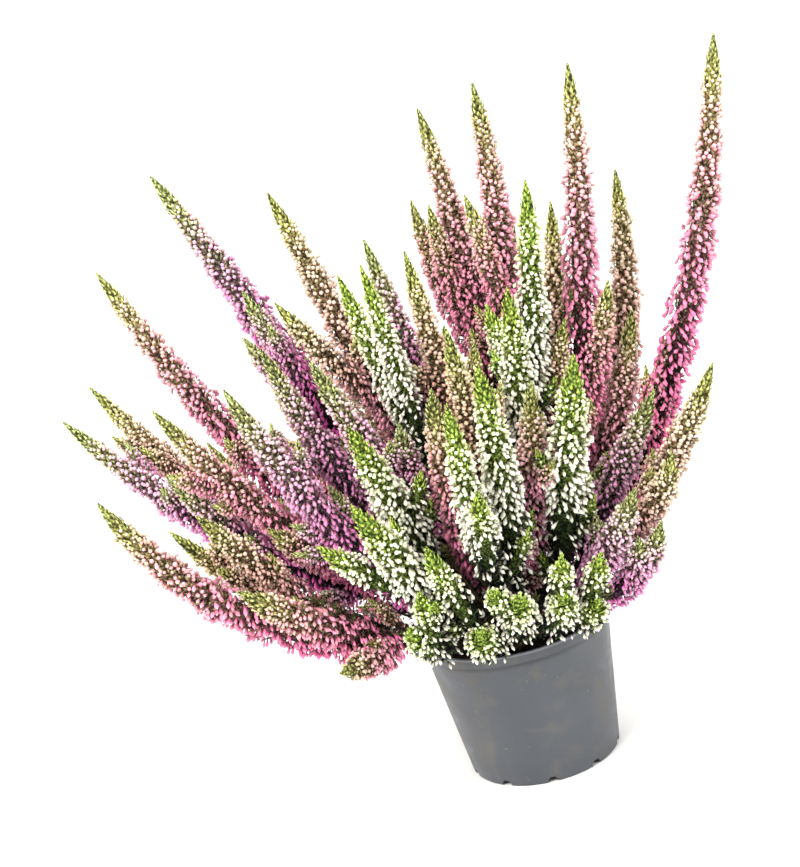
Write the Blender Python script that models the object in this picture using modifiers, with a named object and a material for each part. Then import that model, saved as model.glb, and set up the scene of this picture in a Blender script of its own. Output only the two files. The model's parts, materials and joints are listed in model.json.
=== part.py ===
"""A bud-flowering heather in a round nursery pot.

The pot holds a plug of soil. Eight rooted cuttings stand in plain holes in the soil, and each branches into
leafy stems. A flowering spray sits on the end of each stem. Buds and leaves are raised from the surface of
their spray or stem by a formula. Lengths in the tables are millimetres; the model is in metres, +Z up, with
its origin at the middle of the pot's underside.
"""
import math

import bmesh
import bpy
import numpy as np
from mathutils import Vector

MM = 0.001

# Pot
POT_HEIGHT = 82.0
RIM_RADIUS = 55.0
LIP_HEIGHT = 6.0
LIP_STEP = 1.6
FOOT_RADIUS = 43.5
WALL = 1.2
FLOOR = 1.5
ROUND_STEPS = 32
NOTCHES = 10
NOTCH_WIDTH = 6.0
NOTCH_HEIGHT = 3.5
NOTCH_DEPTH = 8.0

# Soil
GAP = 0.3
SOIL_DROP = 9.0
SOIL_DOME = 3.0
SOIL_LUMP = 0.7
HOLE_RADIUS = 4.5
HOLE_DEPTH = 16.0
HOLE_CLEAR = 12.0

# Cuttings
RING_CROWNS = 7
RING_RADIUS = 27.0
RING_TURN = math.radians(-90.0)
MIDDLE_REACH = 84.0
TRUNK_RADIUS = 4.0
FORK_HEIGHT = 5.0
STEM_RADIUS = 3.1
LEAF_LIFT = 0.42
LEAF_PITCH = 16.0
LEAF_LEAN = 0.3
TWIGS = 2
TWIG_REACH = (34.0, 58.0)
TWIG_LEAN = (0.75, 1.15)
MIDDLE_TWIG_LEAN = (0.2, 0.5)
TWIG_SPREAD = 0.5
MIDDLE_TWIG_SPREAD = 2.0
TWIG_BOW = 0.08
TWIG_SEED = 5

# Flowering sprays
SPIKE_SIDES = 6
STEM_SIDES = 4
BUD_PITCH = 14.0
BUD_LIFT = 0.36
BUD_LEAN = 0.22
SPIKE_FOOT = 1.9
SIDE_BOW = 0.06
FILL_LEAVE = (0.10, 0.20)
FILL_LENGTH = (0.26, 0.36)
FILL_SPREAD = (18.0, 28.0)
FILL_WIDTH = 0.8
FILL_SEED = 11
CLEARANCE = 0.8
RIM_BAND = (44.0, 66.0)
SETTLE_ROUNDS = 90
SETTLED = 0.02
SAMPLES = 18

# Each spray: name, variety, tip, bow, where its buds start along the stem, radius, and its side spikes.
# A side spike is: where it leaves along the main one, its tip and its radius.
SPRAYS = [
    ("left_low", "pink", (-187, -78, 221), 0.24, 0.17, 12.4,
     [(0.20, (-131, -84, 161), 9.4), (0.18, (-92, -84, 106), 8.4)]),
    ("left_lilac", "lilac", (-214, 0, 254), 0.12, 0.22, 8.8, [(0.38, (-164, -16, 212), 7.2)]),
    ("left_dusky", "dusky", (-205, 42, 264), 0.14, 0.26, 8.4, [(0.36, (-148, 40, 216), 7.2)]),
    ("left_rose", "pink", (-158, -30, 252), 0.12, 0.22, 9.4, [(0.36, (-116, -34, 176), 7.6)]),
    ("left_tall", "pink", (-177, 20, 327), 0.12, 0.24, 9.8, [(0.34, (-122, 2, 236), 7.6)]),
    ("left_high", "lilac", (-132, 12, 370), -0.03, 0.26, 10.0,
     [(0.44, (-112, 44, 270), 7.2), (0.46, (-99, 0, 299), 7.0)]),
    ("left_inner", "dusky", (-73, 12, 346), -0.02, 0.28, 9.4, [(0.50, (-82, -16, 290), 7.0)]),
    ("left_fork", "dusky", (-164, -46, 190), 0.20, 0.24, 8.2, [(0.46, (-145, -60, 198), 7.6)]),
    ("left_mauve", "lilac", (-116, -46, 256), 0.14, 0.22, 9.2, []),
    ("mauve_upper", "lilac", (-96, -14, 268), 0.10, 0.26, 9.0, []),
    ("mauve_inner", "lilac", (-70, -40, 258), 0.08, 0.24, 9.2, []),
    ("green_pair", "white", (-46, -18, 296), 0.05, 0.28, 7.6, [(0.44, (-32, -40, 300), 6.6)]),
    ("centre_lilac", "lilac", (-30, 22, 308), 0.04, 0.30, 8.4, []),
    ("centre_dusky", "dusky", (-9, -10, 299), 0.03, 0.28, 8.2, []),
    ("crest_left", "pink", (19, 50, 370), 0.05, 0.28, 9.8,
     [(0.50, (1, 58, 321), 7.6), (0.54, (10, 40, 317), 7.2)]),
    ("crest_right", "pink", (49, 40, 375), 0.06, 0.28, 10.0, [(0.48, (30, 26, 318), 7.6)]),
    ("bright_white", "white", (62, -10, 319), 0.06, 0.28, 9.0, []),
    ("right_olive", "dusky", (76, 30, 302), 0.08, 0.30, 8.6, []),
    ("right_high", "pink", (98, 20, 373), 0.06, 0.26, 10.0, [(0.34, (94, 2, 256), 7.6)]),
    ("right_back", "dusky", (119, 62, 309), 0.22, 0.26, 9.2, [(0.36, (104, 64, 236), 7.2)]),
    ("right_tall", "pink", (172, -10, 368), 0.17, 0.22, 10.0, [(0.32, (124, -2, 226), 7.8)]),
    ("right_green", "dusky", (131, -42, 207), 0.06, 0.22, 9.2, [(0.34, (99, -58, 170), 7.6)]),
    ("right_small", "lilac", (85, -62, 138), 0.10, 0.30, 7.6, [(0.46, (72, -64, 132), 6.6)]),
    ("right_mauve", "lilac", (76, -70, 160), 0.14, 0.24, 8.4, []),
    ("right_deep", "lilac", (102, -32, 198), 0.14, 0.22, 9.4, []),
    ("right_rose", "pink", (104, 12, 236), 0.12, 0.26, 9.2, []),
    ("front_upper", "white", (35, -58, 271), 0.06, 0.24, 9.2, []),
    ("front_slim", "dusky", (3, -72, 262), 0.06, 0.26, 8.2, []),
    ("front_white", "white", (12, -100, 245), 0.10, 0.22, 9.2, []),
    ("front_right", "white", (59, -80, 236), 0.08, 0.22, 10.8, []),
    ("front_green", "white", (-6, -112, 233), 0.12, 0.26, 7.6, [(0.40, (-2, -112, 189), 7.4)]),
    ("front_left", "white", (-55, -90, 229), 0.10, 0.24, 9.6, []),
    ("front_bloom", "white", (-62, -110, 196), 0.14, 0.22, 10.0, [(0.42, (-84, -100, 178), 7.4)]),
    ("front_rose", "pink", (-11, -72, 235), 0.08, 0.24, 10.0, []),
    ("front_flesh", "pink", (38, -54, 222), 0.07, 0.26, 9.2, []),
    ("low_left", "white", (-52, -82, 119), 0.20, 0.34, 8.8, [(0.48, (-42, -94, 142), 7.6)]),
    ("low_centre", "white", (-16, -94, 112), 0.16, 0.34, 9.2, [(0.46, (-33, -98, 164), 7.8)]),
    ("low_middle", "white", (5, -104, 130), 0.16, 0.34, 9.2, [(0.48, (-8, -106, 138), 7.2)]),
    ("low_right", "white", (44, -84, 112), 0.20, 0.36, 8.8, [(0.48, (50, -92, 138), 7.6)]),
    ("low_side", "white", (26, -98, 126), 0.18, 0.36, 8.4, [(0.50, (30, -104, 146), 6.8)]),
    ("back_left", "pink", (-112, 112, 237), 0.16, 0.24, 9.8, [(0.42, (-122, 122, 200), 7.6)]),
    ("back_mauve", "lilac", (-98, 150, 236), 0.18, 0.24, 9.2, []),
    ("back_inner", "dusky", (-60, 104, 260), 0.10, 0.26, 9.0, [(0.44, (-86, 84, 248), 7.4)]),
    ("back_white", "white", (-26, 164, 250), 0.16, 0.24, 9.6, [(0.42, (-52, 152, 196), 7.4)]),
    ("back_tall", "pink", (24, 128, 304), 0.12, 0.24, 10.0, [(0.44, (59, 112, 295), 7.6)]),
    ("back_lilac", "lilac", (62, 168, 246), 0.18, 0.24, 9.0, [(0.40, (32, 176, 186), 7.4)]),
    ("back_dusky", "dusky", (119, 128, 248), 0.16, 0.26, 9.0, [(0.40, (107, 142, 205), 7.4)]),
    ("back_right", "pink", (135, 78, 197), 0.20, 0.22, 10.0, [(0.40, (117, 98, 157), 7.6)]),
    ("back_low", "lilac", (-112, 96, 150), 0.22, 0.24, 8.6, [(0.42, (-84, 112, 140), 7.2)]),
]

# Sprays that also bend sideways: how far the middle control point of the stem is moved, in x and y.
SWAYS = {"crest_left": (44.0, 0.0), "crest_right": (26.0, 0.0), "right_back": (10.0, 0.0)}

SOIL_TOP = POT_HEIGHT - SOIL_DROP

COLOURS = {
    "pot": ((0.150, 0.155, 0.170), 0.48),
    "soil": ((0.045, 0.030, 0.020), 0.95),
    "leaf": ((0.045, 0.075, 0.022), 0.70),
    "pink": ((0.560, 0.140, 0.250), 0.60),
    "lilac": ((0.400, 0.180, 0.330), 0.60),
    "dusky": ((0.330, 0.230, 0.160), 0.65),
    "white": ((0.620, 0.640, 0.440), 0.60),
}


def clear_scene():
    for item in list(bpy.data.objects):
        bpy.data.objects.remove(item, do_unlink=True)


def new_collection(name, parent=None):
    group = bpy.data.collections.new(name)
    (parent or bpy.context.scene.collection).children.link(group)
    return group


def material(name):
    """Plain finish in the colour and roughness listed for this slot."""
    colour, rough = COLOURS[name]
    made = bpy.data.materials.get(name) or bpy.data.materials.new(name)
    made.use_nodes = True
    shader = made.node_tree.nodes["Principled BSDF"]
    shader.inputs["Base Color"].default_value = (*colour, 1.0)
    shader.inputs["Roughness"].default_value = rough
    shader.inputs["Metallic"].default_value = 0.0
    made.diffuse_color = (*colour, 1.0)
    return made


def add_object(name, mesh, group, finish=None):
    item = bpy.data.objects.new(name, mesh)
    group.objects.link(item)
    if finish:
        mesh.materials.append(material(finish))
    return item


def mesh_from(form, name):
    mesh = bpy.data.meshes.new(name)
    form.to_mesh(mesh)
    form.free()
    return mesh


def turned(name, profile, group, finish):
    """Solid of revolution from a profile of (radius, height) that runs down its outer side."""
    form = bmesh.new()
    rail = [form.verts.new((r * MM, 0.0, z * MM)) for r, z in profile]
    for a, b in zip(rail, rail[1:]):
        form.edges.new((a, b))
    item = add_object(name, mesh_from(form, name), group, finish)
    screw = item.modifiers.new("turn", "SCREW")
    screw.axis = "Z"
    screw.angle = 2.0 * math.pi
    screw.steps = ROUND_STEPS
    screw.render_steps = ROUND_STEPS
    screw.use_merge_vertices = True
    screw.merge_threshold = 0.00005
    return item


def boolean(item, operation, operands, solver):
    """Cuts or joins item with every object of the collection, leaves the result as its mesh, removes them."""
    change = item.modifiers.new(operation.lower(), "BOOLEAN")
    change.operation = operation
    change.operand_type = "COLLECTION"
    change.collection = operands
    change.solver = solver
    depsgraph = bpy.context.evaluated_depsgraph_get()
    solid = bpy.data.meshes.new_from_object(item.evaluated_get(depsgraph))
    finish = item.data.materials[0] if item.data.materials else None
    item.modifiers.clear()
    item.data = solid
    solid.materials.clear()
    if finish:
        solid.materials.append(finish)
    for used in list(operands.objects):
        bpy.data.objects.remove(used, do_unlink=True)
    bpy.data.collections.remove(operands)


def body_radius(z):
    """Outer radius of the pot's wall at height z, below the lip."""
    top = RIM_RADIUS - LIP_STEP
    return FOOT_RADIUS + (top - FOOT_RADIUS) * z / (POT_HEIGHT - LIP_HEIGHT)


def build_pot(group, cutters):
    """The moulded pot: a turned shell with a lip, and drainage notches cut round its foot."""
    inner_foot = body_radius(FLOOR) - WALL
    inner_rim = RIM_RADIUS - LIP_STEP - WALL + 0.6
    lip_foot = POT_HEIGHT - LIP_HEIGHT
    profile = [
        (0.0, FLOOR),
        (inner_foot, FLOOR),
        (body_radius(lip_foot) - WALL, lip_foot),
        (inner_rim, POT_HEIGHT),
        (RIM_RADIUS - 0.5, POT_HEIGHT),
        (RIM_RADIUS, POT_HEIGHT - 0.8),
        (RIM_RADIUS, lip_foot + 0.6),
        (body_radius(lip_foot), lip_foot),
        (body_radius(1.2), 1.2),
        (FOOT_RADIUS - 1.0, 0.0),
        (0.0, 0.0),
    ]
    pot = turned("pot", profile, group, "pot")
    notches = new_collection("notches", cutters)
    for k in range(NOTCHES):
        turn = 2.0 * math.pi * (k + 0.5) / NOTCHES
        form = bmesh.new()
        bmesh.ops.create_cube(form, size=1.0)
        size = Vector((NOTCH_DEPTH, NOTCH_WIDTH, 2.0 * NOTCH_HEIGHT)) * MM
        bmesh.ops.scale(form, vec=size, verts=form.verts[:])
        cutter = add_object(f"notch_{k}", mesh_from(form, "notch"), notches)
        cutter.location = Vector((math.cos(turn), math.sin(turn), 0.0)) * FOOT_RADIUS * MM
        cutter.rotation_euler = (0.0, 0.0, turn)
        cutter.hide_render = True
        cutter.display_type = "WIRE"
    boolean(pot, "DIFFERENCE", notches, "EXACT")
    pot.data.shade_smooth()
    pot.data.set_sharp_from_angle(angle=math.radians(35.0))
    return pot


def crown_places():
    """Middle of each trunk: one on the axis and a ring round it."""
    places = [(0.0, 0.0)]
    for k in range(RING_CROWNS):
        turn = RING_TURN + 2.0 * math.pi * k / RING_CROWNS
        places.append((RING_RADIUS * math.cos(turn), RING_RADIUS * math.sin(turn)))
    return places


def build_soil(group, cutters):
    """The plug of soil: fills the pot with a small gap, domed and lumpy, with a hole for each trunk."""
    foot = FLOOR + GAP
    edge = body_radius(SOIL_TOP) - WALL - GAP
    rings = [0.0, 0.3, 0.65, 1.0]
    profile = [(edge * r, SOIL_TOP + SOIL_DOME * (1.0 - r * r)) for r in rings]
    profile.append((body_radius(foot) - WALL - GAP, foot))
    profile.append((0.0, foot))
    soil = turned("soil", profile, group, "soil")
    depsgraph = bpy.context.evaluated_depsgraph_get()
    solid = bpy.data.meshes.new_from_object(soil.evaluated_get(depsgraph))
    soil.modifiers.clear()
    soil.data = solid
    for vert in solid.vertices:
        x, y, z = vert.co / MM
        inside = max(0.0, 1.0 - math.hypot(x, y) / (edge - 1.0))
        if z > SOIL_TOP - 1.0:
            lump = math.sin(x * 0.31 + 1.3) * math.cos(y * 0.27 - 0.6) + 0.5 * math.sin(x * 0.73 - y * 0.52)
            vert.co.z += SOIL_LUMP * lump * min(1.0, 3.0 * inside) * MM
    holes = new_collection("holes", cutters)
    depth = HOLE_DEPTH + GAP + HOLE_CLEAR
    for k, (x, y) in enumerate(crown_places()):
        form = bmesh.new()
        bmesh.ops.create_cone(form, cap_ends=True, segments=12, radius1=HOLE_RADIUS * MM,
                              radius2=HOLE_RADIUS * MM, depth=depth * MM)
        cutter = add_object(f"hole_{k}", mesh_from(form, "hole"), holes)
        cutter.location = Vector((x, y, SOIL_TOP - HOLE_DEPTH - GAP + 0.5 * depth)) * MM
        cutter.hide_render = True
        cutter.display_type = "WIRE"
    boolean(soil, "DIFFERENCE", holes, "EXACT")
    return soil


class Path:
    """A stem's middle line: a bowed curve with three control points, one of them fixed at its foot."""

    def __init__(self, foot, tip, bow):
        self.foot = np.array(foot, float)
        self.tip = np.array(tip, float)
        way = self.tip - self.foot
        self.knee = self.foot + way * np.array([0.5 + bow, 0.5 + bow, 0.5 - bow])

    def at(self, t):
        t = np.asarray(t, float)[..., None]
        return (1 - t) ** 2 * self.foot + 2 * t * (1 - t) * self.knee + t ** 2 * self.tip

    def along(self, t):
        way = 2 * (1 - t) * (self.knee - self.foot) + 2 * t * (self.tip - self.knee)
        return way / np.linalg.norm(way)

    def length(self, start, end):
        points = self.at(np.linspace(start, end, 24))
        return float(np.linalg.norm(np.diff(points, axis=0), axis=1).sum())

    def across(self):
        """Direction square to the curve's own plane."""
        side = np.cross(self.knee - self.foot, self.tip - self.knee)
        if np.linalg.norm(side) < 1e-3:
            side = np.cross(self.tip - self.foot, np.array([0.31, 0.95, 0.02]))
        return side / np.linalg.norm(side)


def spike_width(s):
    """Share of a spike's full radius at s, from its foot (0) to the end of its leafy tip (1)."""
    shares = [0.5, 0.86, 1.0, 0.88, 0.66, 0.44, 0.34, 0.2]
    return float(np.interp(s, [0.0, 0.05, 0.2, 0.6, 0.76, 0.88, 0.95, 1.0], shares))


def fill_side(path, start, radius, draw):
    """A side spike by rule, for a spray with none listed: it leaves the lower buds and ends short of it."""
    leave = start + draw.uniform(*FILL_LEAVE)
    level = leave + draw.uniform(*FILL_LENGTH)
    along = path.along(level)
    out = np.cross(path.across(), along)
    turn = draw.uniform(0.0, 2.0 * math.pi)
    spread = draw.uniform(*FILL_SPREAD) * (math.cos(turn) * out + math.sin(turn) * path.across())
    if spread[0] * path.tip[0] + spread[1] * path.tip[1] > 0.0:
        spread = -spread
    return leave, path.at(level) + spread, radius * FILL_WIDTH


def plan_growth():
    """Every stem's path: sprays from their crown's fork, side spikes from their spray, and leafy twigs."""
    places = crown_places()
    filler = np.random.default_rng(FILL_SEED)
    grown = []
    for name, variety, tip, bow, start, radius, sides in SPRAYS:
        crown = 0
        if math.hypot(tip[0], tip[1]) > MIDDLE_REACH:
            turn = math.atan2(tip[1], tip[0]) - RING_TURN
            crown = 1 + round(turn / (2.0 * math.pi) * RING_CROWNS) % RING_CROWNS
        foot = (*places[crown], SOIL_TOP + SOIL_DOME + FORK_HEIGHT)
        path = Path(foot, tip, bow)
        path.knee[:2] += SWAYS.get(name, (0.0, 0.0))
        grown.append(dict(name=name, crown=crown, path=path, start=start, radius=radius, variety=variety,
                          owner=None))
        owner = len(grown) - 1
        if not sides:
            sides = [fill_side(path, start, radius, filler)]
        for leave, side_tip, side_radius in sides:
            side = Path(path.at(leave), side_tip, SIDE_BOW)
            grown.append(dict(name=name, crown=crown, path=side, start=0.0, radius=side_radius,
                              variety=variety, owner=owner, leave=leave))
    draw = np.random.default_rng(TWIG_SEED)
    for crown, (x, y) in enumerate(places):
        out = math.atan2(y, x) if crown else 0.0
        for k in range(TWIGS):
            spread = TWIG_SPREAD if crown else MIDDLE_TWIG_SPREAD
            turn = out + (k - 0.5 * (TWIGS - 1)) * spread + draw.uniform(-0.15, 0.15)
            reach = draw.uniform(*TWIG_REACH)
            lean = draw.uniform(*(TWIG_LEAN if crown else MIDDLE_TWIG_LEAN))
            foot = np.array([x, y, SOIL_TOP + SOIL_DOME + FORK_HEIGHT])
            way = np.array([math.cos(turn) * math.sin(lean), math.sin(turn) * math.sin(lean), math.cos(lean)])
            path = Path(foot, foot + way * reach, TWIG_BOW)
            grown.append(dict(name=f"twig_{crown}_{k}", crown=crown, path=path, start=1.1, radius=STEM_RADIUS,
                              variety="leaf", owner=None))
    return grown


def sample_radii(stem, ts):
    """Outer radius of a stem at each sample: leaves below its buds, buds above."""
    radii = []
    for t in ts:
        if t < stem["start"]:
            radii.append(STEM_RADIUS)
        else:
            radii.append(stem["radius"] * spike_width((t - stem["start"]) / max(1e-6, 1.0 - stem["start"])))
    return np.array(radii)


def settle(grown):
    """Bends the stems apart, a little each round, until none of two sprays touch and all clear the rim."""
    ts = (np.arange(SAMPLES) + 0.5) / SAMPLES
    radii = np.array([sample_radii(stem, ts) for stem in grown])
    budding = np.array([[t >= stem["start"] for t in ts] for stem in grown])
    names = [stem["name"] for stem in grown]
    crowns = [stem["crown"] for stem in grown]
    weight_knee = 2.0 * ts * (1.0 - ts)
    weight_tip = ts ** 2
    share = weight_knee ** 2 + weight_tip ** 2
    for turn in range(SETTLE_ROUNDS):
        points = np.array([stem["path"].at(ts) for stem in grown])
        worst = 0.0
        for i in range(len(grown)):
            for j in range(i + 1, len(grown)):
                if names[i] == names[j]:
                    continue
                apart = points[i][:, None, :] - points[j][None, :, :]
                far = np.linalg.norm(apart, axis=2)
                lack = radii[i][:, None] + radii[j][None, :] + CLEARANCE - far
                if crowns[i] == crowns[j]:
                    both_green = ~budding[i][:, None] & ~budding[j][None, :]
                    lack = np.where(both_green, -1.0, lack)
                if lack.max() <= 0.0:
                    continue
                a, b = np.unravel_index(lack.argmax(), lack.shape)
                worst = max(worst, lack[a, b])
                push = apart[a, b] / max(far[a, b], 1e-6) * lack[a, b] * 0.55
                for stem, k, move in ((grown[i], a, push), (grown[j], b, -push)):
                    k = max(k, 3)
                    stem["path"].knee += move * min(1.2, weight_knee[k] / share[k])
                    stem["path"].tip += move * min(1.0, weight_tip[k] / share[k]) * ts[k] ** 2
        for stem, near in zip(grown, radii):
            spots = stem["path"].at(ts)
            out = np.hypot(spots[:, 0], spots[:, 1])
            over_rim = (out > RIM_BAND[0]) & (out < RIM_BAND[1])
            floor = np.where(over_rim, POT_HEIGHT + near + CLEARANCE, SOIL_TOP + near + 2.0)
            low = np.where(out < RIM_BAND[1], floor - spots[:, 2], -1.0)
            k = int(low.argmax())
            if low[k] > 0.0:
                worst = max(worst, low[k])
                stem["path"].knee[2] += low[k] * min(1.5, weight_knee[k] / share[k])
                stem["path"].tip[2] += low[k] * min(0.6, weight_tip[k] / share[k])
        for stem in grown:
            if stem["owner"] is not None:
                root = grown[stem["owner"]]["path"].at(stem["leave"])
                stem["path"].knee += 0.5 * (root - stem["path"].foot)
                stem["path"].foot = root
        if worst <= SETTLED:
            break
    return worst, turn


def relief_body(path, start, end, width, sides, pitch, lift, lean, flat_end):
    """A closed body along a path, its surface raised and lowered in turn so that scales or buds cover it.

    It starts as a sphere whose rings are laid along the path. The first ring is flat and smooth, so that the
    body meets its neighbour face to face, and so is the last one where flat_end is set.
    """
    rings = max(4, round(path.length(start, end) / pitch) + 1)
    form = bmesh.new()
    bmesh.ops.create_uvsphere(form, u_segments=sides, v_segments=rings + 1, radius=1.0)
    across = path.across()
    step = (end - start) / (rings - 1 if flat_end else rings - 0.5)
    for vert in form.verts:
        polar = math.acos(max(-1.0, min(1.0, -vert.co.z))) / math.pi * (rings + 1)
        ring = min(rings, max(1, round(polar)))
        pole = round(polar) in (0, rings + 1)
        side = round(math.atan2(vert.co.y, vert.co.x) / (2.0 * math.pi) * sides) % sides
        t = start + step * (ring - 1)
        radius = width((t - start) / (end - start))
        smooth = ring == 1 or (ring == rings and flat_end)
        raised = (ring + side) % 2 == 0
        if smooth:
            radius = SPIKE_FOOT
        elif not raised:
            radius *= 1.0 - lift
        elif ring < rings:
            t += step * lean
        if pole:
            radius = 0.0
            t = start if ring == 1 else end
        along = path.along(t)
        out = np.cross(across, along)
        turn = 2.0 * math.pi * side / sides
        place = path.at(t) + radius * (math.cos(turn) * out + math.sin(turn) * across)
        vert.co = Vector(place) * MM
    bmesh.ops.triangulate(form, faces=form.faces[:], quad_method="SHORT_EDGE")
    bmesh.ops.recalc_face_normals(form, faces=form.faces[:])
    return form


def build_spray(stems, group):
    """One flowering spray: its main spike, with any side spikes joined to it."""
    main = stems[0]
    name = "spray_" + main["name"]
    bodies = []
    for stem in stems:
        start = stem["start"]
        if stem is main:
            start += GAP / main["path"].length(0.0, 1.0)
        form = relief_body(stem["path"], start, 1.0, lambda s, r=stem["radius"]: r * spike_width(s),
                           SPIKE_SIDES, BUD_PITCH, BUD_LIFT, BUD_LEAN, False)
        bodies.append(form)
    spray = add_object(name, mesh_from(bodies[0], name), group, main["variety"])
    if len(bodies) > 1:
        extra = new_collection(name + "_sides")
        for form in bodies[1:]:
            add_object(name + "_side", mesh_from(form, "side"), extra)
        boolean(spray, "UNION", extra, "MANIFOLD")
    return spray


def build_crown(index, place, stems, group):
    """One rooted cutting: its trunk, and the leafy stems and twigs that fork from it."""
    top = SOIL_TOP + SOIL_DOME + FORK_HEIGHT + 2.0
    foot = SOIL_TOP - HOLE_DEPTH
    form = bmesh.new()
    bmesh.ops.create_cone(form, cap_ends=True, segments=8, radius1=TRUNK_RADIUS * MM,
                          radius2=0.8 * TRUNK_RADIUS * MM, depth=(top - foot) * MM)
    bmesh.ops.translate(form, verts=form.verts[:], vec=Vector((*place, 0.5 * (top + foot))) * MM)
    name = f"crown_{index}"
    crown = add_object(name, mesh_from(form, name), group, "leaf")
    shoots = new_collection(name + "_shoots")
    for stem in stems:
        twig = stem["start"] > 1.0
        end = 1.0 if twig else stem["start"]
        form = relief_body(stem["path"], 0.0, end, lambda s: STEM_RADIUS, STEM_SIDES, LEAF_PITCH, LEAF_LIFT,
                           LEAF_LEAN, not twig)
        add_object(name + "_shoot", mesh_from(form, "shoot"), shoots)
    boolean(crown, "UNION", shoots, "MANIFOLD")
    return crown


clear_scene()
heather = new_collection("potted_heather")
cutters = new_collection("cutters")
build_pot(heather, cutters)
build_soil(heather, cutters)
grown = plan_growth()
lack, rounds = settle(grown)
print("settled: lack", round(float(lack), 3), "mm after", rounds + 1, "rounds")
for index, place in enumerate(crown_places()):
    stems = [stem for stem in grown if stem["crown"] == index and stem["owner"] is None]
    build_crown(index, place, stems, heather)
for spray_name in [row[0] for row in SPRAYS]:
    build_spray([stem for stem in grown if stem["name"] == spray_name], heather)
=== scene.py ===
"""The finished look of a bud-flowering heather in its nursery pot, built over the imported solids."""
import json
from math import atan2, cos, hypot, inf, pi, radians, sin, sqrt

import bmesh
import bpy
import numpy as np
from mathutils import Matrix, Vector, noise
from numpy import interp
from numpy.linalg import norm
from numpy.random import default_rng

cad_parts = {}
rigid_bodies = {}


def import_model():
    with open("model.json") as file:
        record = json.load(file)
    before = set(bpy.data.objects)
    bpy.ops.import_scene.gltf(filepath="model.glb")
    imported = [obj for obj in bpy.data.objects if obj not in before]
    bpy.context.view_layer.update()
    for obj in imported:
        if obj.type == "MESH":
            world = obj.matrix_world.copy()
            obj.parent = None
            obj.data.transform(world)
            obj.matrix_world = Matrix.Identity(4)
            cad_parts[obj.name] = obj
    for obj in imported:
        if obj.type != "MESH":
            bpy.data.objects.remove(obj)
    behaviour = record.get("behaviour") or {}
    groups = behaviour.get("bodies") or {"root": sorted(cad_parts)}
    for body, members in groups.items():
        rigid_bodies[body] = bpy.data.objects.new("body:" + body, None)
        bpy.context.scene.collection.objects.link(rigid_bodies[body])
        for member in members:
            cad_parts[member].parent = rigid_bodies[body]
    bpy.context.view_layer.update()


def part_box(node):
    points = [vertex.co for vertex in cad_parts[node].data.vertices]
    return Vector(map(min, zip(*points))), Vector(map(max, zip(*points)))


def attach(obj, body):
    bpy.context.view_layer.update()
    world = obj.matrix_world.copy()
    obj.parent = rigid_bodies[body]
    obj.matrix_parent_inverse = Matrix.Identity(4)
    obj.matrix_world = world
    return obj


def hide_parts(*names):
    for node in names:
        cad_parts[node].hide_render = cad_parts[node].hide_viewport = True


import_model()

# The stand: a sheet of white studio paper that runs flat under the pot and curves up all round, with no edge
# in view. Soft boxes hang above it, and the camera leans by as much as the photograph does.
MM = 0.001
PAPER_FLAT = 1.3
PAPER_CURVE = 0.9
PAPER_HEIGHT = 1.9
PAPER_WHITE = "F7F7F5"
PAPER_GRAIN = 3.667 * MM
BLEND = {"data_type": "RGBA"}
MULTIPLY = {"data_type": "RGBA", "blend_type": "MULTIPLY"}


def linear(code):
    """sRGB hex code as the linear colour that a shader takes."""
    parts = [int(code[k:k + 2], 16) / 255.0 for k in (0, 2, 4)]
    return (*[c / 12.92 if c <= 0.04045 else ((c + 0.055) / 1.055) ** 2.4 for c in parts], 1.0)


def fill(tree, made, **inputs):
    """Fills a node's inputs with values or links; a node as a value links from its first output in use."""
    for key, value in inputs.items():
        name = key.replace("_", " ")
        socket = made.inputs[int(name[5:])] if name.startswith("input") else made.inputs[name]
        if isinstance(value, bpy.types.Node):
            value = next(output for output in value.outputs if output.enabled)
        if isinstance(value, bpy.types.NodeSocket):
            tree.links.new(value, socket)
        else:
            socket.default_value = value
    return made


def node(tree, kind, settings=(), stops=(), **inputs):
    """Adds a node with its properties, a colour ramp's stops (hex code by place), and its inputs."""
    made = tree.nodes.new("ShaderNode" + kind)
    for key, value in dict(settings).items():
        setattr(made, key, value)
    if stops:
        band = made.color_ramp.elements
        while len(band) < len(stops):
            band.new(0.5)
        for element, (place, code) in zip(band, stops.items()):
            element.position, element.color = place, linear(code)
    return fill(tree, made, **inputs)


def surface(name):
    """A new material's tree and its Principled shader."""
    made = bpy.data.materials.new(name)
    made.use_nodes = True
    return made, made.node_tree, made.node_tree.nodes["Principled BSDF"]


def link_object(name, mesh):
    item = bpy.data.objects.new(name, mesh)
    bpy.context.scene.collection.objects.link(item)
    return item


def turned(name, profile, steps):
    """An object turned about Z from (radius, height) points in metres, outer side first."""
    form = bmesh.new()
    rail = [form.verts.new((r, 0.0, z)) for r, z in profile]
    edges = [form.edges.new(pair) for pair in zip(rail, rail[1:])]
    bmesh.ops.spin(form, geom=rail + edges, cent=(0, 0, 0), axis=(0, 0, 1), angle=2 * pi, steps=steps,
                   use_merge=True)
    bmesh.ops.remove_doubles(form, verts=form.verts[:], dist=1e-6)
    bmesh.ops.recalc_face_normals(form, faces=form.faces[:])
    mesh = bpy.data.meshes.new(name)
    form.to_mesh(mesh)
    form.free()
    mesh.shade_smooth()
    return link_object(name, mesh)


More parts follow.
